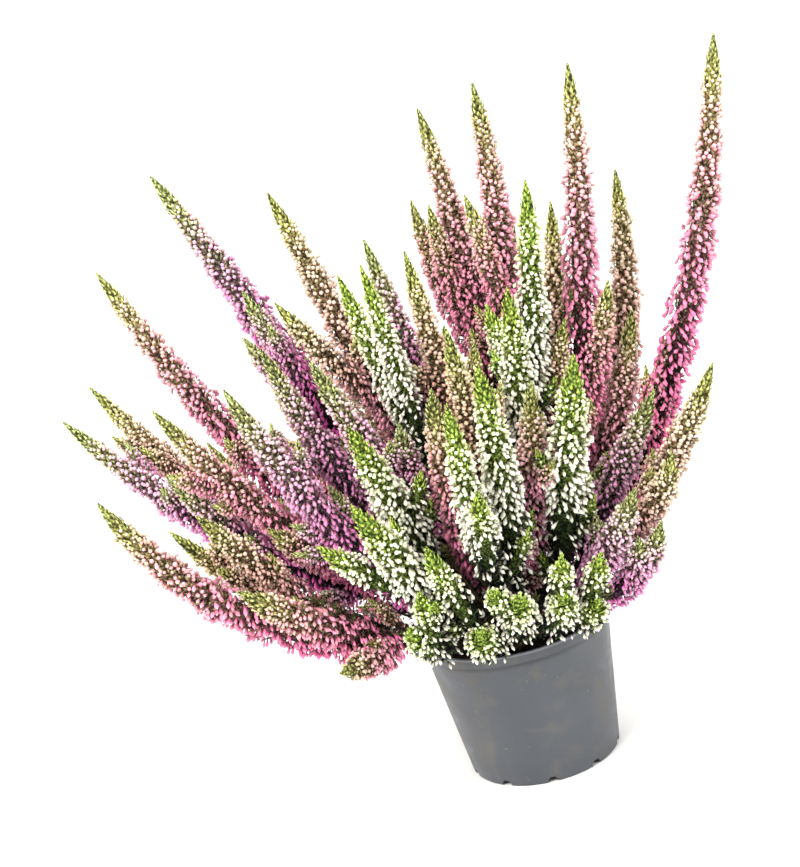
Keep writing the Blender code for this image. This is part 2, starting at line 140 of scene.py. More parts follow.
curve = [(PAPER_FLAT + PAPER_CURVE * sin(a), PAPER_CURVE * (1.0 - cos(a)))
         for a in np.linspace(0.0, pi / 2, 20)]
paper = turned("studio_paper", [(0.0, 0.0), *curve, (PAPER_FLAT + PAPER_CURVE, PAPER_HEIGHT)], 96)
paper_finish, tree, shader = surface("matt white studio paper")
grain = node(tree, "TexNoise", Scale=2.0 * (PAPER_FLAT + PAPER_CURVE) / PAPER_GRAIN, Detail=2.0)
tint = node(tree, "MapRange", Value=grain, To_Min=0.985, To_Max=1.0)
white = node(tree, "Mix", MULTIPLY, Factor=1.0, input6=linear(PAPER_WHITE), input7=tint)
fill(tree, shader, Base_Color=white, Roughness=0.9, Specular_IOR_Level=0.1)
paper.data.materials.append(paper_finish)

CAMERA_PLACE = (0.0, -0.75, 0.357)
CAMERA_YAW = radians(-2.74)
CAMERA_PITCH = radians(-11.67)
CAMERA_ROLL = radians(-14.56)
CAMERA_LENS = 57.7
CAMERA_SENSOR = 36.0

camera = link_object("camera", bpy.data.cameras.new("camera"))
aim = Matrix.Rotation(-CAMERA_YAW, 4, "Z") @ Matrix.Rotation(pi / 2 + CAMERA_PITCH, 4, "X")
camera.matrix_world = Matrix.Translation(CAMERA_PLACE) @ aim @ Matrix.Rotation(CAMERA_ROLL, 4, "Z")
camera.data.lens = CAMERA_LENS
camera.data.sensor_width = CAMERA_SENSOR
camera.data.clip_start = 10.0 * MM

# Each soft box: name, place, width in metres, power in watts and colour.
SOFT_BOXES = [
    ("key", (-0.75, -1.05, 1.45), 0.9, 33.0, (1.0, 0.985, 0.96)),
    ("fill", (1.1, -0.8, 1.0), 0.9, 8.5, (0.96, 0.98, 1.0)),
    ("top", (0.1, 0.2, 1.75), 1.1, 12.0, (1.0, 1.0, 1.0)),
    ("back", (0.2, 1.3, 1.1), 0.9, 7.0, (1.0, 1.0, 1.0)),
]
PLANT_MIDDLE = Vector((0.0, 0.0, 0.17))
ROOM_LIGHT = 0.84

for name, place, size, power, colour in SOFT_BOXES:
    lamp = bpy.data.lights.new(name, "AREA")
    lamp.shape, lamp.size, lamp.energy, lamp.color = "DISK", size, power, colour
    box = link_object(name, lamp)
    box.location = place
    box.rotation_euler = (PLANT_MIDDLE - Vector(place)).to_track_quat("-Z", "Y").to_euler()

studio = bpy.context.scene
studio.camera = camera
studio.world = world = bpy.data.worlds.new("studio air")
world.use_nodes = True
fill(world.node_tree, world.node_tree.nodes["Background"], Color=(1.0, 1.0, 1.0, 1.0), Strength=ROOM_LIGHT)
studio.view_settings.view_transform = "Standard"
studio.cycles.use_denoising = True

# The pot: injection-moulded polypropylene in mid grey, one thin wall with a rolled lip and a flat foot. Small
# drainage slots are moulded through the corner of the foot. It stands on the paper and carries the soil.
POT_RIM, POT_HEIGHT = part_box("pot")[1].x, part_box("pot")[1].z
LIP_HEIGHT = 6.0 * MM
LIP_STEP = 1.6 * MM
LIP_THICKER = 0.6 * MM
FOOT_RADIUS = 43.5 * MM
WALL = 1.2 * MM
FLOOR = 1.5 * MM
NOTCHES = 10
NOTCH = (8.0 * MM, 6.0 * MM, 7.0 * MM)
NOTCH_CORNER = 1.2 * MM
POT_STEPS = 144
POT_GREY = "3E4147"
POT_GREY_LIGHT = "474A51"
POT_SOILED = "5F5A52"
# Paler grey of the painted highlight on the lip's top edge.
POT_LIP_HIGHLIGHT = "85888F"
POT_SPECK = "77756A"
POT_IOR = 1.49
MOULD_GRAIN = 0.35 * MM
FLOW_SIZE = 35.71 * MM
SMEAR_SIZE = 22.0 * MM
DUST_SIZE = 2.381 * MM
# Band of the painted highlight at the lip's top edge, then the band of painted shade under the lip.
LIP_HIGHLIGHT_BAND = (1.3 * MM, 0.4 * MM)
LIP_SHADE_BAND = (3.0 * MM, 2.0 * MM)


def wall_radius(z):
    """Outer radius of the pot's wall at height z."""
    lip_foot = POT_HEIGHT - LIP_HEIGHT
    return FOOT_RADIUS + (POT_RIM - LIP_STEP - FOOT_RADIUS) * z / lip_foot


def bend(start, knee, end, t):
    """Point at t on the curve from start to end that is pulled towards knee."""
    return (1 - t) ** 2 * start + 2 * t * (1 - t) * knee + t ** 2 * end


def fillet(corner, before, after, radius):
    """Points that round a profile's corner between its two neighbours."""
    corner, before, after = (np.array(p, float) for p in (corner, before, after))
    into = (before - corner) / norm(before - corner)
    out = (after - corner) / norm(after - corner)
    start, end = corner + into * radius, corner + out * radius
    return [tuple(bend(start, corner, end, t)) for t in np.linspace(0.0, 1.0, 4)]


# The wall's section, up the outside and down the inside: each corner with its rounding radius.
lip_foot = POT_HEIGHT - LIP_HEIGHT
corners = [
    ((0.0, 0.0), 0.0),
    ((FOOT_RADIUS - 0.3 * MM, 0.0), 1.4 * MM),
    ((wall_radius(lip_foot), lip_foot), 0.5 * MM),
    ((POT_RIM, lip_foot + 0.5 * MM), 0.6 * MM),
    ((POT_RIM, POT_HEIGHT), 0.9 * MM),
    ((POT_RIM - LIP_STEP - WALL + LIP_THICKER, POT_HEIGHT), 0.5 * MM),
    ((wall_radius(lip_foot) - WALL, lip_foot), 2.0 * MM),
    ((FOOT_RADIUS - WALL, FLOOR), 1.5 * MM),
    ((0.0, FLOOR), 0.0),
]
profile = [corners[0][0]]
for before, (corner, radius), after in zip(corners, corners[1:], corners[2:]):
    profile += fillet(corner, before[0], after[0], radius)
pot = turned("nursery_pot", profile + [corners[-1][0]], POT_STEPS)
slots = bpy.data.collections.new("drainage slots")
for k in range(NOTCHES):
    turn = Matrix.Rotation(2.0 * pi * (k + 0.5) / NOTCHES, 4, "Z")
    form = bmesh.new()
    bmesh.ops.create_cube(form, size=1.0, matrix=turn @ Matrix.Translation((FOOT_RADIUS, 0.0, 0.0))
                          @ Matrix.Diagonal((*NOTCH, 1.0)))
    bmesh.ops.bevel(form, geom=form.edges[:], offset=NOTCH_CORNER, segments=2, affect="EDGES")
    cutter = bpy.data.objects.new(f"slot {k}", bpy.data.meshes.new("slot"))
    form.to_mesh(cutter.data)
    form.free()
    slots.objects.link(cutter)
cut = pot.modifiers.new("slots", "BOOLEAN")
cut.operand_type, cut.collection, cut.solver = "COLLECTION", slots, "EXACT"
notched = bpy.data.meshes.new_from_object(pot.evaluated_get(bpy.context.evaluated_depsgraph_get()))
pot.modifiers.clear()
pot.data = notched
for cutter in list(slots.objects):
    bpy.data.objects.remove(cutter)
bpy.data.collections.remove(slots)
pot.data.shade_smooth()
pot.data.set_sharp_from_angle(angle=radians(40.0))

# Moulded polypropylene: satin, with the fine grain of the mould and faint lines of flow in its grey. A little
# dried soil is wiped across it. The lip's top edge is painted paler as a painted highlight, and a band just
# under the lip is painted darker as a painted shade line.
plastic, tree, shader = surface("injection-moulded polypropylene, grey")
place = node(tree, "TexCoord").outputs["Object"]
flow = node(tree, "TexNoise", Vector=place, Scale=1.0 / FLOW_SIZE, Detail=3.0, Roughness=0.55)
grey = node(tree, "ValToRGB", stops={0.3: POT_GREY, 0.7: POT_GREY_LIGHT}, Fac=flow)
smear = node(tree, "TexNoise", Vector=place, Scale=1.0 / SMEAR_SIZE, Detail=5.0, Roughness=0.7,
             Distortion=0.4)
patches = node(tree, "MapRange", Value=smear, From_Min=0.52, From_Max=0.7, To_Max=0.6)
stained = node(tree, "Mix", BLEND, Factor=patches, input6=grey, input7=linear(POT_SOILED))
dust = node(tree, "TexNoise", Vector=place, Scale=1.0 / DUST_SIZE, Detail=1.0)
specks = node(tree, "MapRange", Value=dust, From_Min=0.75, From_Max=0.8, To_Max=0.6)
dusty = node(tree, "Mix", BLEND, Factor=specks, input6=stained, input7=linear(POT_SPECK))
height = node(tree, "SeparateXYZ", Vector=place).outputs["Z"]
# Painted highlight: the lip's top edge is painted paler.
lip_highlight = node(tree, "MapRange", Value=height, From_Min=POT_HEIGHT - LIP_HIGHLIGHT_BAND[0],
            From_Max=POT_HEIGHT - LIP_HIGHLIGHT_BAND[1])
lip_highlighted = node(tree, "Mix", BLEND, Factor=lip_highlight, input6=dusty, input7=linear(POT_LIP_HIGHLIGHT))
# Painted shade: a dark band is painted just under the lip, where its shadow falls.
under_lip = node(tree, "MapRange", Value=height, From_Min=lip_foot - LIP_SHADE_BAND[0],
                 From_Max=lip_foot + LIP_SHADE_BAND[1])
painted_lip_shade = node(tree, "ValToRGB", Fac=under_lip,
             stops={0.0: "FFFFFF", 0.45: "C8C8C8", 0.62: "989898", 0.8: "FFFFFF"})
shaded = node(tree, "Mix", MULTIPLY, Factor=1.0, input6=lip_highlighted, input7=painted_lip_shade)
sheen = node(tree, "MapRange", Value=smear, From_Min=0.4, From_Max=0.75, To_Min=0.34, To_Max=0.62)
mould = node(tree, "TexNoise", Vector=place, Scale=1.0 / MOULD_GRAIN, Detail=1.0)
bump = node(tree, "Bump", Strength=0.12, Distance=0.05 * MM, Height=mould)
fill(tree, shader, Base_Color=shaded, Roughness=sheen, Normal=bump, IOR=POT_IOR)
pot.data.materials.append(plastic)
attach(pot, "root")
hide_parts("pot")

# The soil: a plug of moist peat and composted bark that fills the pot to a finger's width under the rim.
# Loose crumbs and bark chips lie on it, pressed in where they fell.
SOIL_TOP = POT_HEIGHT - 9.0 * MM
SOIL_DOME = 3.0 * MM
SOIL_GAP = 0.3 * MM
SOIL_EDGE = wall_radius(SOIL_TOP) - WALL - SOIL_GAP
SOIL_RINGS = 26
SOIL_STEPS = 120
LUMPS_PER_METRE, LUMP_HEIGHT = 90.0, 1.5 * MM
GRAINS_PER_METRE, GRAIN_HEIGHT = 420.0, 0.5 * MM
CRUMBS = 620
CRUMB_SIZE = (1.0 * MM, 3.4 * MM)
CRUMB_FLATNESS = [0.3, 0.7, 0.9]
SOIL_SEED = 3
CHIP_SIZE = 1.613 * MM
CLOD_SIZE = 3.846 * MM
PEAT_DARK = "17110D"
PEAT_BROWN = "2A1F17"
BARK_LIGHT = "463526"


def on_circle(radius, turn):
    return radius * cos(turn), radius * sin(turn)


def soil_height(x, y):
    """Height of the soil's lumpy top at a place, in metres."""
    out = min(1.0, hypot(x, y) / SOIL_EDGE)
    lumps = noise.fractal(Vector((x, y, 0.0)) * LUMPS_PER_METRE, 1.0, 2.1, 4) * LUMP_HEIGHT
    crumbly = noise.noise(Vector((x, y, 1.0)) * GRAINS_PER_METRE) * GRAIN_HEIGHT
    return SOIL_TOP + SOIL_DOME * (1.0 - out * out) + (lumps + crumbly) * (1.0 - 0.6 * out ** 4)


def soil_plug():
    """Points and faces of the whole plug: its lumpy top in rings, then its wall and floor."""
    turns = [2.0 * pi * k / SOIL_STEPS for k in range(SOIL_STEPS)]
    points = [(0.0, 0.0, soil_height(0.0, 0.0))]
    for ring in range(1, SOIL_RINGS + 1):
        places = [on_circle(SOIL_EDGE * ring / SOIL_RINGS, turn) for turn in turns]
        points += [(x, y, soil_height(x, y)) for x, y in places]
    foot = wall_radius(FLOOR) - WALL - SOIL_GAP
    points += [(*on_circle(foot, turn), FLOOR + SOIL_GAP) for turn in turns]
    points.append((0.0, 0.0, FLOOR + SOIL_GAP))
    last = 1 + SOIL_RINGS * SOIL_STEPS
    faces = []
    for k in range(SOIL_STEPS):
        nxt = (k + 1) % SOIL_STEPS
        faces += [(0, 1 + k, 1 + nxt), (last + k, last + SOIL_STEPS, last + nxt)]
        for a in range(1, last, SOIL_STEPS):
            b = a + SOIL_STEPS
            faces.append((a + k, b + k, b + nxt, a + nxt))
    return points, faces


def crumb(draw, place, size, flat):
    """One irregular crumb's points: a coarse ball with corners pulled in or out, flat for a chip of bark."""
    stretch = np.array([draw.uniform(0.7, 1.3), draw.uniform(0.6, 1.0), flat])
    turn = Matrix.Rotation(draw.uniform(0, 6.3), 3, "Z") @ Matrix.Rotation(draw.uniform(-0.6, 0.6), 3, "X")
    corners = [np.array(vert.co) * draw.uniform(0.75, 1.15) * stretch * size * 0.5 for vert in ball.verts]
    return [tuple(np.array(turn @ Vector(corner)) + place) for corner in corners]


ball = bmesh.new()
bmesh.ops.create_icosphere(ball, subdivisions=1, radius=1.0)
draw = default_rng(SOIL_SEED)
points, faces = soil_plug()
for k in range(CRUMBS):
    x, y = on_circle((SOIL_EDGE - 2.0 * MM) * sqrt(draw.uniform()), draw.uniform(0, 2 * pi))
    size = draw.uniform(*CRUMB_SIZE)
    flat = draw.choice(CRUMB_FLATNESS)
    faces += [[vert.index + len(points) for vert in face.verts] for face in ball.faces]
    points += crumb(draw, np.array([x, y, soil_height(x, y) + 0.15 * size * flat]), size, flat)
ball.free()
mesh = bpy.data.meshes.new("potting_soil")
mesh.from_pydata(points, [], faces)
mesh.validate()
soil = link_object("potting_soil", mesh)

# Peat and composted bark: black-brown when moist, paler fibres and chips, no gloss at all.
peat, tree, shader = surface("moist peat and composted bark")
place = node(tree, "TexCoord").outputs["Object"]
chips = node(tree, "TexVoronoi", Vector=place, Scale=1.0 / CHIP_SIZE)
clods = node(tree, "TexNoise", Vector=place, Scale=1.0 / CLOD_SIZE, Detail=4.0, Roughness=0.7)
earth = node(tree, "ValToRGB", Fac=clods, stops={0.3: PEAT_DARK, 0.55: PEAT_BROWN, 0.8: BARK_LIGHT})
speckled = node(tree, "Mix", MULTIPLY, Factor=0.5, input6=earth, input7=chips.outputs["Color"])
bump = node(tree, "Bump", Strength=0.7, Distance=0.4 * MM, Height=clods)
fill(tree, shader, Base_Color=speckled, Normal=bump, Roughness=0.95, Specular_IOR_Level=0.2)
soil.data.materials.append(peat)
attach(soil, "root")
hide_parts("soil")

# The cuttings: eight rooted heather stems, one in the middle and seven round it. Each woody foot forks just
# above the soil into shoots clothed in tiny overlapping leaves; most shoots go on into a flowering spray.
RING_CROWNS = 7
RING_RADIUS = 27.0
RING_TURN = radians(-90.0)
MIDDLE_REACH = 84.0
FORK_HEIGHT = 5.0
STEM_RADIUS = 3.1
TWIGS = 2
TWIG_REACH = (34.0, 58.0)
TWIG_LEAN = (0.75, 1.15)
MIDDLE_TWIG_LEAN = (0.2, 0.5)
TWIG_SPREAD = 0.5
MIDDLE_TWIG_SPREAD = 2.0
TWIG_BOW = 0.08
TWIG_SEED = 5
SIDE_BOW = 0.06
FILL_LEAVE = (0.1, 0.2)
FILL_LENGTH = (0.26, 0.36)
FILL_SPREAD = (18.0, 28.0)
FILL_WIDTH = 0.8
FILL_SEED = 11
CLEARANCE = 0.8
RIM_BAND = (44.0, 66.0)
SETTLE_ROUNDS = 90
SETTLED = 0.02
SAMPLES = 18

FORK_Z = SOIL_TOP / MM + SOIL_DOME / MM + FORK_HEIGHT
RING = [RING_TURN + 2.0 * pi * k / RING_CROWNS for k in range(RING_CROWNS)]
CROWN_PLACES = [(0.0, 0.0)] + [on_circle(RING_RADIUS, turn) for turn in RING]

# Each spray: name, variety, its tip in mm, bow, where its buds start along the stem, radius in mm, and its
# side spikes. A side spike is: where it leaves along the main one, its tip and its radius.
SPRAYS = [
    ("left_low", "pink", -187, -78, 221, 0.24, 0.17, 12.4,
     (0.2, -131, -84, 161, 9.4), (0.18, -92, -84, 106, 8.4)),
    ("left_lilac", "lilac", -214, 0, 254, 0.12, 0.22, 8.8, (0.38, -164, -16, 212, 7.2)),
    ("left_dusky", "dusky", -205, 42, 264, 0.14, 0.26, 8.4, (0.36, -148, 40, 216, 7.2)),
    ("left_rose", "pink", -158, -30, 252, 0.12, 0.22, 9.4, (0.36, -116, -34, 176, 7.6)),
    ("left_tall", "pink", -177, 20, 327, 0.12, 0.24, 9.8, (0.34, -122, 2, 236, 7.6)),
    ("left_high", "lilac", -132, 12, 370, -0.03, 0.26, 10.0,
     (0.44, -112, 44, 270, 7.2), (0.46, -99, 0, 299, 7.0)),
    ("left_inner", "dusky", -73, 12, 346, -0.02, 0.28, 9.4, (0.5, -82, -16, 290, 7.0)),
    ("left_fork", "dusky", -164, -46, 190, 0.2, 0.24, 8.2, (0.46, -145, -60, 198, 7.6)),
    ("left_mauve", "lilac", -116, -46, 256, 0.14, 0.22, 9.2),
    ("mauve_upper", "lilac", -96, -14, 268, 0.1, 0.26, 9.0),
    ("mauve_inner", "lilac", -70, -40, 258, 0.08, 0.24, 9.2),
    ("green_pair", "white", -46, -18, 296, 0.05, 0.28, 7.6, (0.44, -32, -40, 300, 6.6)),
    ("centre_lilac", "lilac", -30, 22, 308, 0.04, 0.3, 8.4),
    ("centre_dusky", "dusky", -9, -10, 299, 0.03, 0.28, 8.2),
    ("crest_left", "pink", 19, 50, 370, 0.05, 0.28, 9.8,
     (0.5, 1, 58, 321, 7.6), (0.54, 10, 40, 317, 7.2)),
    ("crest_right", "pink", 49, 40, 375, 0.06, 0.28, 10.0, (0.48, 30, 26, 318, 7.6)),
    ("bright_white", "white", 62, -10, 319, 0.06, 0.28, 9.0),
    ("right_olive", "dusky", 76, 30, 302, 0.08, 0.3, 8.6),
    ("right_high", "pink", 98, 20, 373, 0.06, 0.26, 10.0, (0.34, 94, 2, 256, 7.6)),
    ("right_back", "dusky", 119, 62, 309, 0.22, 0.26, 9.2, (0.36, 104, 64, 236, 7.2)),
    ("right_tall", "pink", 172, -10, 368, 0.17, 0.22, 10.0, (0.32, 124, -2, 226, 7.8)),
    ("right_green", "dusky", 131, -42, 207, 0.06, 0.22, 9.2, (0.34, 99, -58, 170, 7.6)),
    ("right_small", "lilac", 85, -62, 138, 0.1, 0.3, 7.6, (0.46, 72, -64, 132, 6.6)),
    ("right_mauve", "lilac", 76, -70, 160, 0.14, 0.24, 8.4),
    ("right_deep", "lilac", 102, -32, 198, 0.14, 0.22, 9.4),
    ("right_rose", "pink", 104, 12, 236, 0.12, 0.26, 9.2),
    ("front_upper", "white", 35, -58, 271, 0.06, 0.24, 9.2),
    ("front_slim", "dusky", 3, -72, 262, 0.06, 0.26, 8.2),
    ("front_white", "white", 12, -100, 245, 0.1, 0.22, 9.2),
    ("front_right", "white", 59, -80, 236, 0.08, 0.22, 10.8),
    ("front_green", "white", -6, -112, 233, 0.12, 0.26, 7.6, (0.4, -2, -112, 189, 7.4)),
    ("front_left", "white", -55, -90, 229, 0.1, 0.24, 9.6),
    ("front_bloom", "white", -62, -110, 196, 0.14, 0.22, 10.0, (0.42, -84, -100, 178, 7.4)),
    ("front_rose", "pink", -11, -72, 235, 0.08, 0.24, 10.0),
    ("front_flesh", "pink", 38, -54, 222, 0.07, 0.26, 9.2),
    ("low_left", "white", -52, -82, 119, 0.2, 0.34, 8.8, (0.48, -42, -94, 142, 7.6)),
    ("low_centre", "white", -16, -94, 112, 0.16, 0.34, 9.2, (0.46, -33, -98, 164, 7.8)),
    ("low_middle", "white", 5, -104, 130, 0.16, 0.34, 9.2, (0.48, -8, -106, 138, 7.2)),
    ("low_right", "white", 44, -84, 112, 0.2, 0.36, 8.8, (0.48, 50, -92, 138, 7.6)),
    ("low_side", "white", 26, -98, 126, 0.18, 0.36, 8.4, (0.5, 30, -104, 146, 6.8)),
    ("back_left", "pink", -112, 112, 237, 0.16, 0.24, 9.8, (0.42, -122, 122, 200, 7.6)),
    ("back_mauve", "lilac", -98, 150, 236, 0.18, 0.24, 9.2),
    ("back_inner", "dusky", -60, 104, 260, 0.1, 0.26, 9.0, (0.44, -86, 84, 248, 7.4)),
    ("back_white", "white", -26, 164, 250, 0.16, 0.24, 9.6, (0.42, -52, 152, 196, 7.4)),
    ("back_tall", "pink", 24, 128, 304, 0.12, 0.24, 10.0, (0.44, 59, 112, 295, 7.6)),
    ("back_lilac", "lilac", 62, 168, 246, 0.18, 0.24, 9.0, (0.4, 32, 176, 186, 7.4)),
    ("back_dusky", "dusky", 119, 128, 248, 0.16, 0.26, 9.0, (0.4, 107, 142, 205, 7.4)),
    ("back_right", "pink", 135, 78, 197, 0.2, 0.22, 10.0, (0.4, 117, 98, 157, 7.6)),
    ("back_low", "lilac", -112, 96, 150, 0.22, 0.24, 8.6, (0.42, -84, 112, 140, 7.2)),
]

# Sprays that also bend sideways: how far the middle control point of the stem is moved, in x and y.
SWAYS = {"crest_left": (44.0, 0.0), "crest_right": (26.0, 0.0), "right_back": (10.0, 0.0)}

# Leaves of the green shoots and the twigs that fill the bush, in mm and in radians off the upright.
SHOOT_LEAF = (3.8, 1.6)
SHOOT_PITCH = 0.5
SHOOT_LEAF_LEAN = 0.7
LEAF_REACH = 2.9
OLD_TO_FRESH = [0.95, 0.75, 0.5, 0.15]
OLD_TO_BUDS = [0.95, 0.7, 0.6]
TWIG_WIDTH = (1.4, 0.6)
TRUNK_ROOTED = 16.0
TRUNK = ((0.0, 0.5, 0.7, 1.0), (4.0, 3.9, 3.6, 3.0))
FILLERS = 10
FILLER_REACH = (45.0, 105.0)
FILLER_LEAN = (0.05, 0.85)
FILLER_PITCH = 0.6
FILLER_SEED = 23
SKIRTS = 4
SKIRT_REACH = (32.0, 58.0)
SKIRT_LEAN = (0.95, 1.2)
OUTSIDE_SHOOTS = [(2, (70.0, -34.0, 100.0)), (7, (-100.0, -60.0, 142.0)), (7, (-92.0, -36.0, 126.0)),
                  (6, (-112.0, -22.0, 142.0))]
GOLDEN = pi * (3.0 - sqrt(5.0))


class Path:
    """A stem's middle line: a bowed curve with three control points, one of them fixed at its foot."""

    def __init__(self, foot, tip, bow):
        self.foot = np.array(foot, float)
        self.tip = np.array(tip, float)
        way = self.tip - self.foot
        self.knee = self.foot + way * np.array([0.5 + bow, 0.5 + bow, 0.5 - bow])

    def at(self, t):
        return bend(self.foot, self.knee, self.tip, np.asarray(t, float)[..., None])

    def along(self, t):
        t = np.asarray(t, float)[..., None]
        way = 2 * (1 - t) * (self.knee - self.foot) + 2 * t * (self.tip - self.knee)
        return way / norm(way, axis=-1, keepdims=True)

    def across(self):
        """Direction square to the curve's own plane."""
        side = np.cross(self.knee - self.foot, self.tip - self.knee)
        if norm(side) < 1e-3:
            side = np.cross(self.tip - self.foot, np.array([0.31, 0.95, 0.02]))
        return side / norm(side)

    def stations(self, start, end, count=200):
        """Parameters from start to end and the length of stem up to each."""
        ts = np.linspace(start, end, count)
        steps = norm(np.diff(self.at(ts), axis=0), axis=1)
        return ts, np.concatenate([[0.0], np.cumsum(steps)])

    def around(self, t, turn):
        """Places on the stem, and there the directions along it, out from it and round it."""
        along = self.along(t)
        across = np.broadcast_to(self.across(), along.shape)
        out = np.cross(across, along)
        c, s = np.cos(turn)[:, None], np.sin(turn)[:, None]
        return self.at(t), along, c * out + s * across, c * across - s * out


def spike_width(s):
    """Share of a spike's full radius at s, from its foot (0) to the end of its leafy tip (1)."""
    shares = [0.5, 0.86, 1.0, 0.88, 0.66, 0.44, 0.34, 0.2]
    return interp(s, [0.0, 0.05, 0.2, 0.6, 0.76, 0.88, 0.95, 1.0], shares)


def towards(turn, lean):
    """Direction that leans off the upright towards the compass angle turn."""
    return np.array([*on_circle(sin(lean), turn), cos(lean)])


class Stem:
    """One stem: its path, where its buds start, its radius in mm, and where it leaves which other stem."""

    def __init__(self, name, crown, variety, path, start, radius, owner=None, leave=0.0):
        self.name, self.crown, self.variety, self.path = name, crown, variety, path
        self.start, self.radius, self.owner, self.leave = start, radius, owner, leave


def fill_side(path, start, radius, draw):
    """A side spike by rule, for a spray with none listed: it leaves the lower buds and ends short of it."""
    leave = start + draw.uniform(*FILL_LEAVE)
    level = leave + draw.uniform(*FILL_LENGTH)
    out = np.cross(path.across(), path.along(level))
    turn = draw.uniform(0.0, 2.0 * pi)
    spread = draw.uniform(*FILL_SPREAD) * (cos(turn) * out + sin(turn) * path.across())
    if spread[0] * path.tip[0] + spread[1] * path.tip[1] > 0.0:
        spread = -spread
    return leave, *(path.at(level) + spread), radius * FILL_WIDTH


def plan_growth():
    """Every stem: sprays from their crown's fork, side spikes from their spray, and leafy twigs."""
    filler = default_rng(FILL_SEED)
    grown = []
    for name, variety, x, y, z, bow, start, radius, *sides in SPRAYS:
        crown = 0
        if hypot(x, y) > MIDDLE_REACH:
            turn = atan2(y, x) - RING_TURN
            crown = 1 + round(turn / (2.0 * pi) * RING_CROWNS) % RING_CROWNS
        path = Path((*CROWN_PLACES[crown], FORK_Z), (x, y, z), bow)
        path.knee[:2] += SWAYS.get(name, (0.0, 0.0))
        owner = Stem(name, crown, variety, path, start, radius)
        grown.append(owner)
        for leave, *side_tip, side_radius in sides or [fill_side(path, start, radius, filler)]:
            side = Path(path.at(leave), side_tip, SIDE_BOW)
            grown.append(Stem(name, crown, variety, side, 0.0, side_radius, owner, leave))
    draw = default_rng(TWIG_SEED)
    for crown, (x, y) in enumerate(CROWN_PLACES):
        out = atan2(y, x) if crown else 0.0
        for k in range(TWIGS):
            spread = TWIG_SPREAD if crown else MIDDLE_TWIG_SPREAD
            turn = out + (k - 0.5 * (TWIGS - 1)) * spread + draw.uniform(-0.15, 0.15)
            reach = draw.uniform(*TWIG_REACH)
            lean = draw.uniform(*(TWIG_LEAN if crown else MIDDLE_TWIG_LEAN))
            foot = np.array([x, y, FORK_Z])
            path = Path(foot, foot + towards(turn, lean) * reach, TWIG_BOW)
            grown.append(Stem(f"twig_{crown}_{k}", crown, "leaf", path, 1.1, STEM_RADIUS))
    return grown


def settle(grown):
    """Bends the stems apart, a little each round, until no two sprays touch and all clear the rim."""
    ts = (np.arange(SAMPLES) + 0.5) / SAMPLES
    budding = np.array([ts >= stem.start for stem in grown])
    widths = [stem.radius * spike_width((ts - stem.start) / max(1e-6, 1.0 - stem.start)) for stem in grown]
    radii = np.where(budding, widths, STEM_RADIUS)
    weight_knee, weight_tip = 2.0 * ts * (1.0 - ts), ts ** 2
    share = weight_knee ** 2 + weight_tip ** 2
    for _ in range(SETTLE_ROUNDS):
        points = np.array([stem.path.at(ts) for stem in grown])
        worst = 0.0
        for i, one in enumerate(grown):
            for j, other in enumerate(grown[i + 1:], i + 1):
                if one.name == other.name:
                    continue
                apart = points[i][:, None] - points[j]
                far = norm(apart, axis=2)
                lack = radii[i][:, None] + radii[j] + CLEARANCE - far
                if one.crown == other.crown:
                    lack = np.where(~budding[i][:, None] & ~budding[j], -1.0, lack)
                if lack.max() <= 0.0:
                    continue
                a, b = np.unravel_index(lack.argmax(), lack.shape)
                worst = max(worst, lack[a, b])
                push = apart[a, b] / max(far[a, b], 1e-6) * lack[a, b] * 0.55
                for stem, k, move in ((one, max(a, 3), push), (other, max(b, 3), -push)):
                    stem.path.knee += move * min(1.2, weight_knee[k] / share[k])
                    stem.path.tip += move * min(1.0, weight_tip[k] / share[k]) * ts[k] ** 2
        for stem, near in zip(grown, radii):
            spots = stem.path.at(ts)
            out = np.hypot(spots[:, 0], spots[:, 1])
            over_rim = (out > RIM_BAND[0]) & (out < RIM_BAND[1])
            floor = np.where(over_rim, POT_HEIGHT / MM + near + CLEARANCE, SOIL_TOP / MM + near + 2.0)
            low = np.where(out < RIM_BAND[1], floor - spots[:, 2], -1.0)
            k = int(low.argmax())
            if low[k] > 0.0:
                worst = max(worst, low[k])
                stem.path.knee[2] += low[k] * min(1.5, weight_knee[k] / share[k])
                stem.path.tip[2] += low[k] * min(0.6, weight_tip[k] / share[k])
            if stem.owner:
                root = stem.owner.path.at(stem.leave)
                stem.path.knee += 0.5 * (root - stem.path.foot)
                stem.path.foot = root
        if worst <= SETTLED:
            break


def closed(points, faces):
    """A little form's points and triangles, with every face turned outward."""
    points, faces = np.array(points, float), np.array(faces, int)
    a, b, c = (points[faces[:, k]] for k in range(3))
    if np.einsum("ij,ij->", a, np.cross(b, c)) < 0.0:
        faces = faces[:, ::-1]
    return points, faces


# A leaf: a keeled scale, thick in the middle. Its keel faces out (X), its width lies along Y and its length
# along Z.
LEAF_FORM = closed(
    [(0, 0, 0), (-0.1, -0.5, 0.42), (-0.1, 0.5, 0.42), (0.26, 0, 0.4), (0.04, 0, 1)],
    [(0, 3, 1), (0, 2, 3), (3, 4, 1), (3, 2, 4), (0, 1, 2), (1, 4, 2)])

# A small leaf between buds or deep in the bush: a plain folded scale.
SCALE_FORM = closed([(0, 0, 0), (-0.08, -0.5, 0.45), (-0.08, 0.5, 0.45), (0.14, 0, 1)],
                    [(0, 2, 1), (1, 2, 3), (0, 1, 3), (0, 3, 2)])


